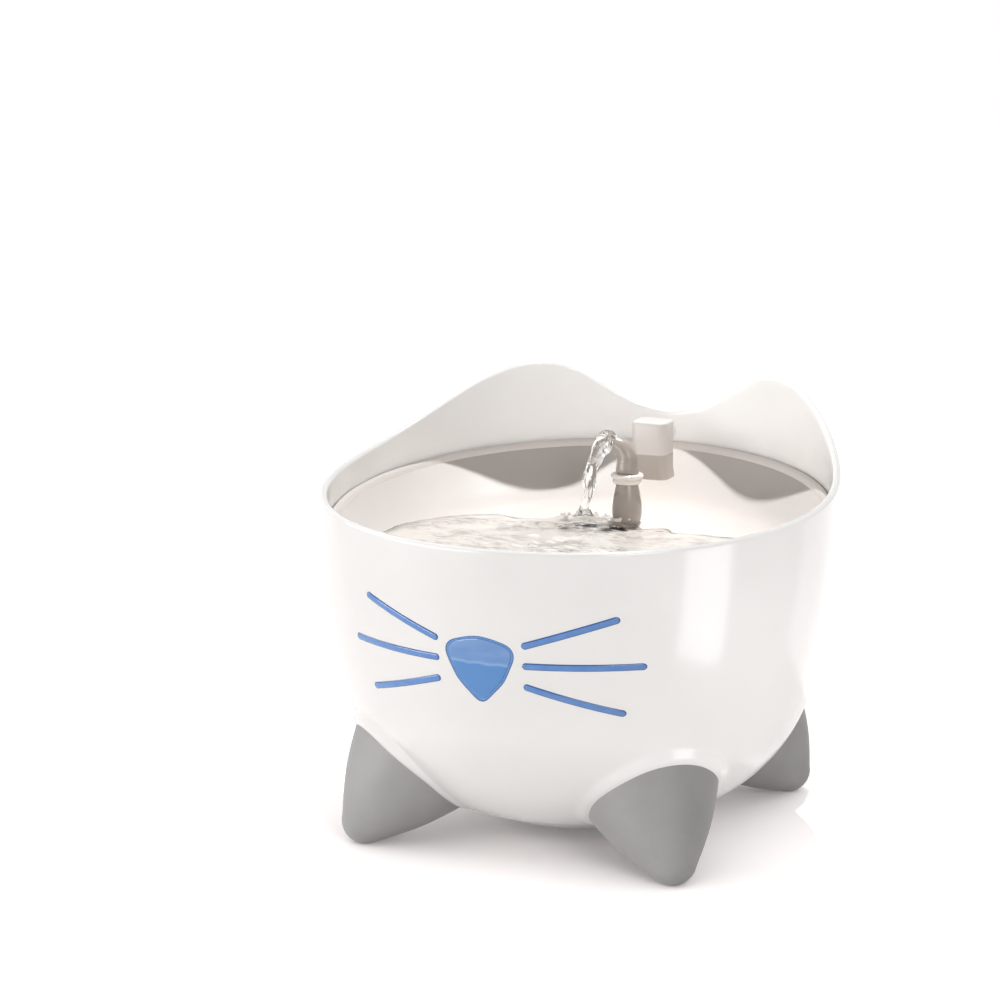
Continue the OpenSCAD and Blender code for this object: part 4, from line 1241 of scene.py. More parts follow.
@dataclass(frozen=True)
class NoseOutline:
    """Rounded triangle with its tip down, as a hull of circles."""

    circles: tuple[tuple[float, float, float], ...] = (
        (-9.8, 98.4, 5.0),
        (9.8, 98.4, 5.0),
        (0.0, 93.7, 12.0),
        (0.0, 80.4, 2.8),
        (-4.9, 102.175, 2.8),
        (4.9, 102.175, 2.8),
        (0.0, 102.7, 2.8),
    )
    count: int = 96
    soften: int = 6

    def loop(self, grow: float) -> np.ndarray:
        """Returns x and z of the outline, grown by an amount."""
        loop = []
        for turn in np.linspace(0, math.tau, 720, endpoint=False):
            way = np.array([math.cos(turn), math.sin(turn)])
            x, z, r = max(self.circles, key=lambda c: c[0] * way[0] + c[1] * way[1] + c[2])
            loop.append(np.array([x, z]) + way * (r + grow))
        ring = even_loop(np.array(loop), self.count)
        low, high = ring.min(axis=0), ring.max(axis=0)
        for _ in range(self.soften):
            ring = (np.roll(ring, 1, axis=0) + 2 * ring + np.roll(ring, -1, axis=0)) / 4
        size = (high - low) / (ring.max(axis=0) - ring.min(axis=0))
        return low + (ring - ring.min(axis=0)) * size


@dataclass
class LevelWindow:
    """Blue window in the bowl's face, its seal and its view of the water."""

    palette: Palette
    outline: NoseOutline = NoseOutline()
    seal_w: float = 1.2
    seal_sunk: float = 0.2

    def build(self) -> None:
        """Builds and dresses the window and its seal."""
        self._window()
        self._seal()

    def _ring(self, grow: float, inset: float) -> np.ndarray:
        """Returns the outline grown and laid on the wall at a depth."""
        flat = self.outline.loop(grow)
        return FORM.on_face(flat[:, 0], flat[:, 1], inset)

    def _window(self) -> None:
        """Builds the window with softened edges."""
        edge = self.outline.loop(-self.seal_w)
        middle = edge.mean(axis=0)
        face = ((0, 0), (0.25, 0), (0.5, 0), (0.72, 0), (0.9, 0.01), (0.97, 0.05), (0.993, 0.15))
        back = ((1, 0.6), (1, FORM.wall - 0.1), (0.6, FORM.wall), (0, FORM.wall))
        sections = []
        for share, inset in face + back:
            flat = middle + (edge - middle) * share
            sections.append(FORM.on_face(flat[:, 0], flat[:, 1], inset))
        window = Bench.lofted("level_window", sections)
        Bench.dress(window, self.palette.window, Body.RESERVOIR, "window", "nose_window")

    def _seal(self) -> None:
        """Builds the seal that fills the gap round the window."""
        sunk = self.seal_sunk
        # Each mark: growth of the outline, depth into the wall, and share of the painted edge shade.
        marks = (
            (0.05, FORM.wall, 1),
            (0.05, sunk + 0.2, 1),
            (-0.1, sunk, 1),
            (-0.35, sunk - 0.05, 0.9),
            (-0.6, sunk - 0.06, 0),
            (-0.95, sunk - 0.05, 0),
            (-self.seal_w, sunk + 0.15, 0.5),
            (-self.seal_w, FORM.wall, 1),
            (0.05, FORM.wall, 1),
        )
        rings = [self._ring(grow, inset) for grow, inset, _ in marks]
        seal = Bench.lofted("window_seal", rings, [mark[2] for mark in marks])
        Bench.dress(seal, self.palette.blue_seal, Body.RESERVOIR, "seal_rubber", "nose_gasket")


class WhiskerRow(Enum):
    """Inner height, outer x and outer height of each whisker."""

    UPPER = (103.0, 53.6, 114.2)
    MIDDLE = (94.4, 62.0, 94.4)
    LOWER = (85.4, 53.8, 74.6)


@dataclass
class Whiskers:
    """Six blue bars let into the face, each with a crowned top."""

    palette: Palette
    width: float = 3.0
    proud: float = 0.5
    inner_x: float = 19.4
    count: int = 80

    def build(self) -> None:
        """Builds and dresses all six."""
        for side in Side:
            for row in WhiskerRow:
                self._whisker(side, row)

    def _whisker(self, side: Side, row: WhiskerRow) -> None:
        """Builds one whisker on the bowl's wall."""
        inner_z, outer_x, outer_z = row.value
        start = np.array([side.value * self.inner_x, inner_z])
        end = np.array([side.value * outer_x, outer_z])
        way = (end - start) / np.linalg.norm(end - start)
        across = np.array([-way[1], way[0]])
        sections = []
        # Each mark: share of the half width, depth below the proud top, and share of the painted edge shade.
        marks = (
            (0, -1, 0),
            (0.35, -0.95, 0),
            (0.58, -0.84, 0.1),
            (0.74, -0.7, 0.8),
            (0.86, -0.5, 1),
            (0.95, -0.25, 1),
            (1.03, 0.3, 1),
            (1.0, 1.8, 1),
            (0.5, 2, 1),
            (0, 2, 1),
        )
        for share, depth, _ in marks:
            flat = self._stadium(start, end, way, across, share * self.width / 2)
            sections.append(FORM.on_face(flat[:, 0], flat[:, 1], depth * self.proud))
        name = f"whisker_{row.name.lower()}_{side.name.lower()}"
        piece = Bench.lofted(
            f"inlay_{row.name.lower()}_{side.name.lower()}", sections, [mark[2] for mark in marks]
        )
        Bench.dress(piece, self.palette.whisker, Body.RESERVOIR, "whisker", name)

    def _stadium(
        self, start: np.ndarray, end: np.ndarray, way: np.ndarray, across: np.ndarray, radius: float
    ) -> np.ndarray:
        """Returns a loop round the line from start to end at a distance."""
        turns = np.linspace(-math.pi / 2, math.pi / 2, self.count // 4)
        far = [end + radius * (math.cos(t) * way + math.sin(t) * across) for t in turns]
        near = [start + radius * (-math.cos(t) * way - math.sin(t) * across) for t in turns]
        steps = np.linspace(0, 1, self.count // 4 + 2)[1:-1]
        back = [end + (start - end) * step + radius * across for step in steps]
        forth = [start + (end - start) * step - radius * across for step in steps]
        return np.array(far + back + near + forth)


# ---- Tray and what stands on it ----


@dataclass
class Tray:
    """Drinking tray: a tipped dish that follows the bowl's inner wall."""

    palette: Palette
    gap: float = 0.4
    filter_y: float = -60.0
    seat_r: float = 26.3
    seat_out_r: float = 29.2
    seat_low_z: float = 103.5
    seat_top_z: float = 115.5
    lean: float = 0.18

    def build(self) -> None:
        """Builds and dresses the tray."""
        tray = Bench.turned("drinking_dish", self._outline(), 240)
        Bench.turn(tray, DISH.tip, "X")
        Bench.shift(tray, (0, 0, DISH.height))
        self._fit_wall(tray)
        Bench.cut(tray, self._filter_cutter())
        Bench.join(tray, self._seat())
        Bench.dress(tray, self.palette.tray, Body.TRAY, "tray", "drinking_tray", smooth=34.0)
        self._soften_wall(tray)

    def _soften_wall(self, tray: bpy.types.Object) -> None:
        """Eases the normals from the dish's floor into its wall, so that the two shade as one bowl."""
        mesh = tray.data
        tip = math.radians(DISH.tip)
        spots = Bench.points(tray) - [0, 0, DISH.height]
        along = spots[:, 1] * math.cos(tip) + spots[:, 2] * math.sin(tip)
        down = spots[:, 2] * math.cos(tip) - spots[:, 1] * math.sin(tip)
        r = np.hypot(spots[:, 0], along)
        wet = (np.abs(down - DISH.depth_at(r)) < 0.05) & (r < DISH.dish_r - 0.6)
        lean = np.radians(DISH.wall_slope * self.lean) * smoothstep(r, DISH.floor_r() - 6, DISH.dish_r)
        flat = np.column_stack([-spots[:, 0], -along]) / np.maximum(r, 0.001)[:, None] * np.sin(lean)[:, None]
        up = np.cos(lean)
        normals = np.column_stack(
            [
                flat[:, 0],
                flat[:, 1] * math.cos(tip) - up * math.sin(tip),
                flat[:, 1] * math.sin(tip) + up * math.cos(tip),
            ]
        )
        loops = np.zeros((len(mesh.loops), 3))
        for face in mesh.polygons:
            corners = list(face.vertices)
            if wet[corners].all() and face.normal.z > 0:
                loops[list(face.loop_indices)] = normals[corners]
        mesh.normals_split_custom_set(loops)

    def _outline(self) -> list[Point2]:
        """Returns the dish's section, from the middle over the edge and back."""
        start = DISH.floor_r()
        slope = DISH.wall_slope
        inner = [(0.0, -DISH.depth)] + line((0.0, -DISH.depth), (start, -DISH.depth), 14)
        inner += arc((start, DISH.fillet - DISH.depth), DISH.fillet, -90, slope - 90, 14)[1:]
        inner += line(inner[-1], (DISH.dish_r - 0.5, -0.8), 10)
        edge = [(DISH.dish_r + 0.1, -0.42), (DISH.dish_r + 0.7, -0.16), (DISH.dish_r + 1.3, -0.04)]
        edge += [(DISH.edge_r - 0.4, 0.0), (DISH.edge_r - 0.15, -0.1), (DISH.edge_r, -0.5)]
        skirt = line((DISH.edge_r, -0.5), (DISH.edge_r, -DISH.skirt), 5) + [(DISH.edge_r - 2, -DISH.skirt)]
        under = [(DISH.edge_r - 2, -3.6)]
        under += arc((start, DISH.fillet - DISH.depth), DISH.fillet + DISH.thickness, slope - 90, -90, 10)
        return inner + edge + skirt + under + [(0.0, -DISH.depth - DISH.thickness)]

    def _fit_wall(self, tray: bpy.types.Object) -> None:
        """Trims the tray's outside to the bowl's inner wall, less the running gap."""
        spots = Bench.points(tray)
        r = np.maximum(np.hypot(spots[:, 0], spots[:, 1]), 1)
        reach = FORM.radius_at(spots[:, 2], FORM.wall + self.gap) / r
        spots[:, :2] *= np.minimum(reach, 1)[:, None]
        Bench.put(tray, spots)

    def _filter_cutter(self) -> bpy.types.Object:
        """Returns the solid that opens the dish over the filter."""
        Bench.clear()
        place = (0, self.filter_y * MM, 106 * MM)
        bpy.ops.mesh.primitive_cylinder_add(vertices=96, radius=self.seat_r * MM, depth=30 * MM, location=place)
        return Bench.started("filter_cutter")

    def _seat(self) -> bpy.types.Object:
        """Returns the ring that carries the filter basket."""
        inner, outer, top = self.seat_r, self.seat_out_r, self.seat_top_z
        low = self.seat_low_z
        rows = [(inner, low), (inner, top), (outer - 0.4, top), (outer, top - 0.4), (outer, low), (inner, low)]
        seat = Bench.turned("filter_seat", rows, 96)
        Bench.shift(seat, (0, self.filter_y, 0))
        return seat


@dataclass
class LeadCover:
    """Square cover between the ears where the lead leaves the dish."""

    palette: Palette
    width: float = 16.5
    depth: float = 15.0
    corner: float = 4.0
    middle: tuple[float, float] = (-1.0, 91.5)
    base_z: float = 132.6
    split_z: float = 143.9
    top_z: float = 158.6
    joint: float = 0.03
    crown: float = 1.1
    flare: float = 0.09
    flare_h: float = 6.0

    def build(self) -> None:
        """Builds and dresses the base and the cap, which cast no shadow on the dish."""
        base = self._block("cover_base", self.base_z, self.split_z - self.joint)
        spots = Bench.points(base)
        spots[:, 0] *= 1 + self.flare * (1 - smoothstep(spots[:, 2], self.base_z, self.base_z + self.flare_h))
        Bench.put(base, spots)
        Bench.dress(base, self.palette.hood_base, Body.TRAY, "hood_plastic", "rear_hood_base")
        cap = self._block("cover_cap", self.split_z + self.joint, self.top_z, self.crown)
        Bench.dress(cap, self.palette.hood, Body.TRAY, "hood_plastic", "rear_hood_cap")
        for piece in (base, cap):
            piece.visible_shadow = False

    def _block(self, name: str, low: float, high: float, crown: float = 0.0) -> bpy.types.Object:
        """Builds one block with rounded corners and softened edges.

        Args:
            name: Name of the piece.
            low: Height of its underside.
            high: Height of its top.
            crown: Radius of its top edge, or zero for a square one.

        Returns:
            The block.
        """
        block = Bench.block(name, (self.width, self.depth, high - low), (*self.middle, (low + high) / 2))
        Bench.pick_edges(block, lambda a, b: abs(a[2] - b[2]) > 1)
        Bench.round_picked(self.corner, 8)
        if crown:
            Bench.pick_edges(block, lambda a, b: min(a[2], b[2]) > high - 0.01)
            Bench.round_picked(crown, 4)
        else:
            Bench.pick_edges(block, lambda a, b: max(a[2], b[2]) < low + 0.01)
            Bench.round_picked(0.3, 2)
        Bench.edit(block)
        for cut in (0.15, 0.3, 0.45):
            bpy.ops.mesh.select_all(action="SELECT")
            height = (low + (high - low) * cut) * MM
            bpy.ops.mesh.bisect(plane_co=(0, 0, height), plane_no=(0, 0, 1))
        bpy.ops.object.mode_set(mode="OBJECT")
        return block


@dataclass
class Spout:
    """Vase-shaped stem, milky collar and a bent mouth that swivels."""

    palette: Palette
    y: float = 57.0
    stem_z: float = 118.3
    stem_top: float = 136.2
    collar_top: float = 141.0
    collar_r: float = 7.2
    tube_r: float = 3.7
    bore_r: float = 2.4
    bend_r: float = 6.6
    bend: float = 72.0
    mouth_run: float = 1.4

    def build(self) -> None:
        """Builds and dresses the three pieces."""
        for piece, finish, body, slot, node in (
            (self._stem(), self.palette.spout, Body.SPOUT, "warm_plastic", "spout_base"),
            (self._collar(), self.palette.collar, Body.SPOUT, "collar_plastic", "spout_collar"),
            (self._mouth(), self.palette.spout, Body.NOZZLE, "warm_plastic", "spout_nozzle"),
        ):
            Bench.shift(piece, (0, self.y, 0))
            Bench.dress(piece, finish, body, slot, node)

    def _stem(self) -> bpy.types.Object:
        """Returns the vase-shaped stem with its spigot into the dish."""
        rows = [(0.0, 104.2), (4.7, 104.2), (4.9, 104.6), (4.9, self.stem_z - 0.1)]
        for k in range(25):
            t = k / 24
            radius = 4.8 + 1.5 * math.sin(math.pi * t**0.7) + 0.4 * (1 - t)
            rows.append((radius, self.stem_z + (self.stem_top - self.stem_z) * t))
        rows += [(4.6, self.stem_top + 0.05), (0.0, self.stem_top + 0.05)]
        return Bench.turned("spout_stem", rows, 64)

    def _collar(self) -> bpy.types.Object:
        """Returns the collar with a broad upper ridge and a slimmer lower one."""
        z = self.stem_top
        rows = [(4.0, z + 0.02), (5.4, z + 0.02)]
        rows += arc((5.5, z + 1.1), 1.0, -80, 70, 8)
        rows += [(5.9, z + 2.15), (6.0, z + 2.4)]
        rows += arc((self.collar_r - 1.1, z + 3.45), 1.1, -60, 90, 9)
        top = self.collar_top
        rows += [(5.2, top - 0.25), (4.9, top - 0.1), (4.0, top - 0.1), (4.0, z + 0.02)]
        return Bench.turned("milky_collar", rows, 72)

    def _mouth(self) -> bpy.types.Object:
        """Returns the foot cone, the bend and the open mouth."""
        rise = 146.5
        cone = ((139.0, 0.01), (139.0, 3.4), (141.1, 3.4), (141.2, 5.0), (141.35, 5.1))
        cone += ((142.0, 5.15), (143.2, 5.0), (144.6, 4.8), (145.6, 4.65), (146.2, 4.55))
        steps = [(np.array([0, 0, z]), 0.0, r) for z, r in cone]
        bend = self._bend(rise)
        taper = np.linspace(4.5, self.tube_r, len(bend))
        steps += [(spot, turn, float(radius)) for (spot, turn), radius in zip(bend, taper)]
        tip, turn = bend[-1]
        way = np.array([-math.sin(turn), 0, math.cos(turn)])
        run = self.mouth_run
        lip = ((run - 0.3, self.tube_r), (run, 3.4), (run, 2.75), (run - 0.35, self.bore_r))
        steps += [(tip + way * past, turn, radius) for past, radius in lip]
        steps += [(spot, turn, self.bore_r) for spot, turn in bend[::-1][:10]]
        steps.append((bend[-10][0], bend[-10][1], 0.01))
        sections = [self._ring(spot, turn, radius) for spot, turn, radius in steps]
        return Bench.lofted("spout_mouth", sections)

    def _bend(self, rise: float) -> list[tuple[np.ndarray, float]]:
        """Returns places and turns along the bend."""
        marks = []
        for k in range(19):
            turn = math.radians(self.bend * k / 18)
            spot = [self.bend_r * (math.cos(turn) - 1), 0, rise + self.bend_r * math.sin(turn)]
            marks.append((np.array(spot), turn))
        return marks

    def _ring(self, spot: np.ndarray, turn: float, radius: float) -> np.ndarray:
        """Returns a circle square to the path at a place."""
        across = np.array([math.cos(turn), 0, math.sin(turn)])
        marks = np.linspace(0, math.tau, 48, endpoint=False)
        return spot + radius * (np.cos(marks)[:, None] * across + np.sin(marks)[:, None] * np.array([0, 1, 0]))


@dataclass
class FilterFill:
    """Foam pad and carbon bed inside the filter frame."""

    palette: Palette

    def build(self) -> None:
        """Builds and dresses the foam and the carbon."""
        foam = self._pad("foam_pad", "filter_foam", 1.6, 0.35)
        Bench.dress(foam, self.palette.foam, Body.CARTRIDGE, "foam", "filter_foam")
        bed = self._pad("carbon_bed", "filter_media", 1.0, 0.5)
        Bench.dress(bed, self.palette.carbon, Body.CARTRIDGE, "carbon", "filter_media")

    def _pad(self, name: str, node: str, edge: float, swell: float) -> bpy.types.Object:
        """Builds a round pad in the space of its node.

        Args:
            name: Name of the piece.
            node: The node whose box it fills.
            edge: Radius of its edges.
            swell: How far its faces dip towards the edge.

        Returns:
            The pad.
        """
        low, high = (np.array(corner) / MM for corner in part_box(node))
        radius = (high[0] - low[0]) / 2
        rows = [(0.0, low[2])] + line((0, low[2]), (radius - edge, low[2] + swell), 10)
        rows += arc((radius - edge, low[2] + swell + edge), edge, -90, 0, 6)[1:]
        rows += line(rows[-1], (radius, high[2] - swell - edge), 4)
        rows += arc((radius - edge, high[2] - swell - edge), edge, 0, 90, 6)[1:]
        rows += line(rows[-1], (0, high[2]), 10)
        pad = Bench.turned(name, rows, 96)
        middle = (low + high) / 2
        Bench.shift(pad, (middle[0], middle[1], 0))
        return pad


# ---- Water ----


@dataclass
class Water:
    """Water in the bowl, in the dish and falling from the mouth.

    The stream's points hold x, height and radius, from the mouth down to the pool.
    """

    palette: Palette
    level: float = WATER_LEVEL / MM
    tank_level: float = TANK_LEVEL / MM
    landing: tuple[float, float] = LANDING
    columns: int = 280
    film: float = 0.12
    middle_y: float = -20.0
    drops: int = 30
    stem_drops_from: int = 12
    stream: tuple[tuple[float, float, float], ...] = (
        (-4.6, 152.9, 2.3),
        (-6.4, 153.4, 3.3),
        (-8.6, 154.2, 4.2),
        (-11.4, 153.3, 4.5),
        (-13.6, 150.2, 4.0),
        (-15.0, 146.6, 3.2),
        (-16.6, 143.0, 2.6),
        (-17.5, 139.0, 2.5),
        (-18.0, 133.6, 2.4),
        (-18.6, 129.0, 1.7),
        (-19.9, 126.4, 2.0),
        (-20.3, 122.8, 2.6),
        (-20.3, 120.4, 3.6),
        (-20.3, 119.2, 5.2),
    )

    def build(self) -> None:
        """Builds and dresses the water."""
        self._pool()
        self._jet()
        self._splash()
        self._tank()

    def _surface(self, x: np.ndarray, y: np.ndarray) -> np.ndarray:
        """Returns the height of the pool's surface, with its ripples and the mound at the landing."""
        dx, dy = x - self.landing[0], y - self.landing[1]
        run = np.hypot(dx, dy * 1.5)
        reach = np.hypot((dx - 4.5) / 21, (dy + 4.5) / 18)
        mound = 2.9 * (1 - smoothstep(reach, 0.15, 1.3)) + 0.6 * np.cos(run / 1.9) * np.exp(-run / 10)
        ring = 0.3 * np.cos(run / 2.1) * np.exp(-run / 26) * smoothstep(reach, 0.9, 1.4)
        swell = 0.24 * np.sin(x / 6.1 + 1.9 * np.sin(y / 13.0)) * np.sin(y / 3.9 + 1.4 * np.sin(x / 17.0))
        swell += 0.15 * np.sin(x / 3.3 - y / 4.2 + 2.0 * np.sin(x / 21.0))
        swell += 0.08 * np.sin(x / 1.7 + y / 1.3 + 3.0 * np.sin(y / 9.0))
        return self.level + mound + ring + swell

    def _shore(self) -> tuple[np.ndarray, np.ndarray]:
        """Returns the pool's edge as a way and a run from its middle."""
        turns = np.linspace(0, math.tau, self.columns, endpoint=False)
        ways = np.column_stack([np.cos(turns), np.sin(turns)])
        near, far = np.full(self.columns, 10.0), np.full(self.columns, 125.0)
        for _ in range(26):
            run = (near + far) / 2
            x, y = self._spread(ways, run)
            wet = self._surface(x, y) > DISH.height_at(x, y) + self.film
            near, far = np.where(wet, run, near), np.where(wet, far, run)
        for _ in range(6):
            near = (np.roll(near, 1) + 2 * near + np.roll(near, -1)) / 4
        return ways, near

    def _spread(self, ways: np.ndarray, run: np.ndarray) -> tuple[np.ndarray, np.ndarray]:
        """Returns x and y at a run from the pool's middle along each way."""
        return ways[:, 0] * run, ways[:, 1] * run + self.middle_y

    def _pool(self) -> None:
        """Builds the pool: a rippled top and a bottom just over the dish."""
        ways, shore = self._shore()
        shares = [0.0] + list(np.linspace(0.03, 0.96, 84)) + [0.975, 0.986, 0.993, 1.0]
        edges = [0.0] * (len(shares) - 2) + [1.0] * 3 + [0.0] * 6
        sections = []
        for share in shares:
            x, y = self._spread(ways, shore * share)
            sections.append(np.column_stack([x, y, self._surface(x, y)]))
        for share in (0.99, 0.95, 0.85, 0.7, 0.5, 0.25, 0.0):
            x, y = self._spread(ways, shore * share)
            sections.append(np.column_stack([x, y, DISH.height_at(x, y) + self.film]))
        pool = Bench.lofted("pool_water", sections, edges)
        Bench.dress(pool, self.palette.pool, Body.TRAY, "tray", smooth=60.0)

    def _jet(self) -> None:
        """Builds the falling stream: a lump over the mouth, then a twisting rope."""
        path = np.array([(x, Spout.y, z, radius) for x, z, radius in self.stream])
        marks = np.linspace(0, len(path) - 1, 88)
        line_up = np.stack([np.interp(marks, np.arange(len(path)), path[:, k]) for k in range(4)], axis=1)
        for _ in range(3):
            line_up[1:-1] = (line_up[:-2] + 2 * line_up[1:-1] + line_up[2:]) / 4
        spots, radii = line_up[:, :3], line_up[:, 3]
        ways = np.gradient(spots, axis=0)
        ways /= np.linalg.norm(ways, axis=1)[:, None]
        across = np.cross(ways, [0, 1, 0])
        around = np.linspace(0, math.tau, 40, endpoint=False)
        sections = [np.repeat(spots[:1], len(around), axis=0)]
        for k, (spot, side, radius) in enumerate(zip(spots, across, radii)):
            drop = k / len(spots)
            waves = 1 + 0.16 * np.sin(2 * around + k * 0.15) + 0.12 * np.sin(3 * around - k * 0.21 + 1.0)
            waves += 0.1 * math.sin(k * 0.42) * drop + 0.07 * np.sin(5 * around + k * 0.3)
            ring = spot + radius * waves[:, None] * (
                np.cos(around)[:, None] * side + 0.8 * np.sin(around)[:, None] * np.array([0, 1, 0])
            )
            sections.append(ring)
        sections.append(np.repeat(spots[-1:], len(around), axis=0))
        jet = Bench.lofted("falling_water", sections)
        Bench.dress(jet, self.palette.jet, Body.NOZZLE, "window", smooth=70.0)

    def _splash(self) -> None:
        """Scatters round drops about the landing."""
        drops = []
        for k in range(self.drops):
            by_stem = k >= self.stem_drops_from
            turn = k * GOLDEN_TURN
            run = 5.0 + 6.5 * ((k * 0.618) % 1)
            x, y = self.landing[0] + run * math.cos(turn) * 1.3, self.landing[1] + run * math.sin(turn) * 0.55
            if by_stem:
                x, y = -1.5 + 4.6 * math.cos(turn) * ((k * 0.618) % 1) ** 0.5, 51.5 + 2.0 * math.sin(turn)
            z = float(self._surface(np.array([x]), np.array([y]))[0]) + 0.2 + 2.2 * ((k * 0.377) % 1) ** 2
            Bench.clear()
            radius = 0.4 + (1.1 if by_stem else 0.5) * ((k * 0.731) % 1)
            place = (x * MM, y * MM, z * MM)
            bpy.ops.mesh.primitive_ico_sphere_add(subdivisions=2, radius=radius * MM, location=place)
            drop = Bench.started(f"drop_{k}")
            Bench.edit(drop)
            bpy.ops.transform.resize(value=(1, 1, 0.72), center_override=place)
            bpy.ops.object.mode_set(mode="OBJECT")
            drops.append(drop)
        Bench.join(*drops)
        drops[0].name = "splash_drops"
        Bench.dress(drops[0], self.palette.foam_drops, Body.TRAY, "window", smooth=60.0)

    def _tank(self) -> None:
        """Builds the water that stands in the bowl behind the window."""
        inset = FORM.wall + 0.3
        rows = FORM.rows(inset, 18, 22)
        rows = [row for row in rows if row[1] < self.tank_level - 1]
        edge_r = float(FORM.radius_at(np.array(self.tank_level), inset))
        rows += [(edge_r, self.tank_level), (edge_r - 1.5, self.tank_level - 0.3), (0.0, self.tank_level - 0.3)]
        tank = Bench.turned("tank_water", rows, 120)
        Bench.dress(tank, self.palette.tank, Body.RESERVOIR, "window", smooth=40.0)


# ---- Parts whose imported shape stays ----


@dataclass
class CarriedOver:
    """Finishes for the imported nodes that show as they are."""

    palette: Palette

    def dress(self) -> None:
        """Gives each remaining node its finish."""
        look = self.palette
        rows = (
            (look.shell, ("nose_retainer",)),
            (look.grommet, ("cable_grommet",)),
            (look.tray, ("filter_basket", "filter_frame")),
            (look.hood, ("drain_grate",)),
            (look.cup, ("spout_seal", "suction_cups")),
            (look.frost, ("riser_tube",)),
            (look.housing, ("pump_housing", "pump_cover")),
            (look.potting, ("potting_cap",)),
            (look.steel, ("stator_core",)),
            (look.copper, ("stator_coils",)),
            (look.rotor, ("impeller",)),
            (look.magnet, ("rotor_magnet",)),
            (look.ceramic, ("impeller_shaft",)),
            (look.seal, ("shaft_bushings", "pump_seal", "cable_gland")),
            (look.slider, ("flow_slider",)),
        )
        for finish, node in ((finish, node) for finish, nodes in rows for node in nodes):
            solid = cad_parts[node]
            for slot in solid.material_slots:
                slot.material = finish
            if not solid.material_slots:
                solid.data.materials.append(finish)
            log.info("%s: packed shape kept", node)


# ---- Studio ----

STRIPS = ("strip_near", "strip_far")


@dataclass(frozen=True)
class SoftBox:
    """One rectangular lamp that looks at a point."""

    name: str
    place: tuple[float, float, float]
    target: tuple[float, float, float]
    size: tuple[float, float]
    power: float

    def hang(self) -> None:
        """Hangs the lamp."""
        Bench.clear()
        way = Vector(self.target) - Vector(self.place)
        turn = way.to_track_quat("-Z", "Y").to_euler()
        bpy.ops.object.light_add(type="AREA", location=self.place, rotation=turn)
        lamp = bpy.context.active_object
        lamp.name = self.name
        lamp.data.shape = "RECTANGLE"
        lamp.data.size, lamp.data.size_y = self.size
        lamp.data.energy = self.power
        lamp.visible_camera = False


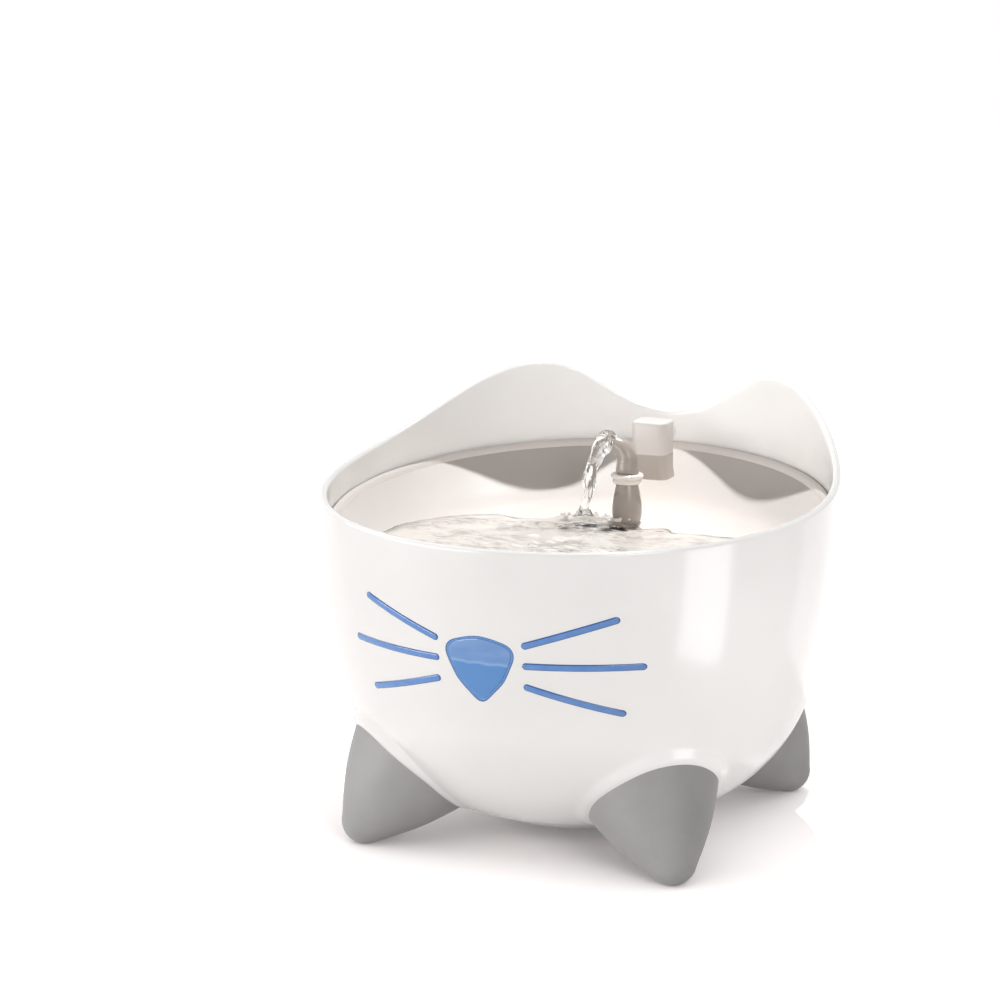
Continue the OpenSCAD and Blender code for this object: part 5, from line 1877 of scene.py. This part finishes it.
@dataclass
class Studio:
    """White studio: floor, world, lamps and the camera."""

    world_level: float = 0.27
    key_rise: float = 73.0
    key_swing: float = -4.0
    key_distance: float = 3.2
    key_radius: float = 0.04
    key_power: float = 530.0
    key_aim_z: float = 0.132
    key_reach: float = 0.1085
    floor_size: float = 14.0
    floor_z: float = -0.00005
    shade_reach: float = 0.34
    distance: float = 1.30326
    swing: float = 21.7415
    height: float = 0.4151
    pitch: float = 11.9371
    heading: float = 1.4796
    focal: float = 112.973

    def build(self) -> None:
        """Builds the studio."""
        scene = bpy.context.scene
        scene.view_settings.view_transform = "Standard"
        self._world()
        self._floor()
        self._lamps()
        self._camera()

    def _world(self) -> None:
        """Lights the scene evenly and shows white behind it."""
        world = bpy.data.worlds.new("studio")
        bpy.context.scene.world = world
        world.use_nodes = True
        tree = world.node_tree
        sky = tree.nodes["Background"]
        path = tree.nodes.new("ShaderNodeLightPath")
        level = tree.nodes.new("ShaderNodeMapRange")
        level.inputs["To Min"].default_value = self.world_level
        level.inputs["To Max"].default_value = 1.0
        tree.links.new(self._seen(tree, path), level.inputs["Value"])
        tree.links.new(level.outputs["Result"], sky.inputs["Strength"])
        sky.inputs["Color"].default_value = (1.0, 1.0, 1.0, 1.0)

    @staticmethod
    def _seen(tree: bpy.types.NodeTree, path: bpy.types.Node) -> bpy.types.NodeSocket:
        """Returns one for rays from the camera, off gloss and through glass, and zero for light."""
        seen = path.outputs["Is Camera Ray"]
        for name in ("Is Glossy Ray", "Is Transmission Ray"):
            either = tree.nodes.new("ShaderNodeMath")
            either.operation = "MAXIMUM"
            tree.links.new(seen, either.inputs[0])
            tree.links.new(path.outputs[name], either.inputs[1])
            seen = either.outputs["Value"]
        return seen

    def _floor(self) -> None:
        """Lays a matt white floor, lifted to white for camera rays; lamp shadows stay, and a soft contact
        shadow is painted into the lift by ambient occlusion round the object.
        """
        Bench.clear()
        bpy.ops.mesh.primitive_plane_add(size=self.floor_size, location=(0, 0, self.floor_z))
        floor = Bench.started("studio_floor")
        board = NodeBoard("studio_floor")
        speck = board.spread(board.noise(14.0, 3.0), 0.0, 1.0)
        board.feed("Base Color", board.mix(speck, tone(240, 237, 236), tone(242, 239, 238)))
        board.set(Roughness=0.95, Specular_IOR_Level=0.05)
        path = board.add("ShaderNodeLightPath")
        # Painted shadow: the lift falls where ambient occlusion finds the object near, tinted pink by the
        # emission colour.
        near = board.add("ShaderNodeAmbientOcclusion", samples=8)
        near.inputs["Distance"].default_value = self.shade_reach
        lift_with_painted_shadow = board.spread(near.outputs["AO"], 0.1, 0.8, 0.1, 0.8)
        board.shader.inputs["Emission Color"].default_value = (1.0, 0.96, 0.955, 1.0)
        board.feed("Emission Strength", board.math("MULTIPLY", self._seen(board.tree, path), lift_with_painted_shadow))
        floor.data.materials.append(board.material)

    def _lamps(self) -> None:
        """Hangs the key spot, the front fill, the two washes and the two strips."""
        self._key()
        middle = (0.0, 0.0, 0.08)
        for box in (
            SoftBox("front_fill", (-1.4, -1.5, 0.16), middle, (1.6, 0.3), 19.5),
            SoftBox("left_wash", (-2.0, -0.3, 0.6), middle, (0.9, 0.7), 8.0),
            SoftBox("right_wash", (1.3, -1.3, 0.8), middle, (0.8, 0.6), 11.5),
            SoftBox(STRIPS[0], (0.246, -0.1, 0.062), (0.078, -0.07, 0.09), (0.085, 0.12), 0.09),
            SoftBox(STRIPS[1], (0.169, 0.154, 0.062), (0.105, -0.004, 0.09), (0.17, 0.12), 0.035),
        ):
            box.hang()

    def aim_strips(self, shell: bpy.types.Object) -> None:
        """Keeps the two strips on the bowl, so that they draw its highlights and light nothing else."""
        lit = bpy.data.collections.new("strip_lit")
        lit.objects.link(shell)
        for name in STRIPS:
            bpy.data.objects[name].light_linking.receiver_collection = lit

    def _key(self) -> None:
        """Hangs the narrow spot that looks down into the dish from behind."""
        aim = Vector((0.0, 0.0, self.key_aim_z))
        rise = math.radians(self.key_rise)
        swing = math.radians(self.key_swing)
        way = Vector((math.sin(swing) * math.cos(rise), math.cos(swing) * math.cos(rise), math.sin(rise)))
        Bench.clear()
        bpy.ops.object.light_add(
            type="SPOT",
            location=aim + way * self.key_distance,
            rotation=way.to_track_quat("Z", "Y").to_euler(),
        )
        key = bpy.context.active_object
        key.name = "dish_spot"
        key.data.energy = self.key_power
        key.data.color = (0.965, 0.985, 1.0)
        key.data.shadow_soft_size = self.key_radius
        key.data.spot_size = 2 * math.atan(self.key_reach / self.key_distance)
        key.data.spot_blend = 0.04

    def _camera(self) -> None:
        """Sets the camera at the object's viewing angle."""
        Bench.clear()
        swing = math.radians(self.swing)
        place = (self.distance * math.sin(swing), -self.distance * math.cos(swing), self.height)
        turn = (math.radians(90 - self.pitch), 0, math.radians(self.swing + self.heading))
        bpy.ops.object.camera_add(location=place, rotation=turn)
        camera = bpy.context.active_object
        camera.data.sensor_width = 36
        camera.data.lens = self.focal
        camera.data.clip_start = 0.01
        bpy.context.scene.camera = camera


def corners(box: Sequence[Vector]) -> list[list[float]]:
    """Returns a box as plain lists of numbers."""
    return [[float(value) for value in corner] for corner in box]


def main() -> None:
    """Builds the fountain and its studio."""
    logging.basicConfig(level=logging.INFO, format="%(message)s")
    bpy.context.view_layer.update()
    palette = Palette()
    studio = Studio()
    studio.build()
    studio.aim_strips(Bowl(palette).build())
    for place in FootPlace:
        Boot(place).build(palette)
    LevelWindow(palette).build()
    Whiskers(palette).build()
    Tray(palette).build()
    LeadCover(palette).build()
    Spout(palette).build()
    FilterFill(palette).build()
    Water(palette).build()
    CarriedOver(palette).dress()


if __name__ == "__main__":
    main()
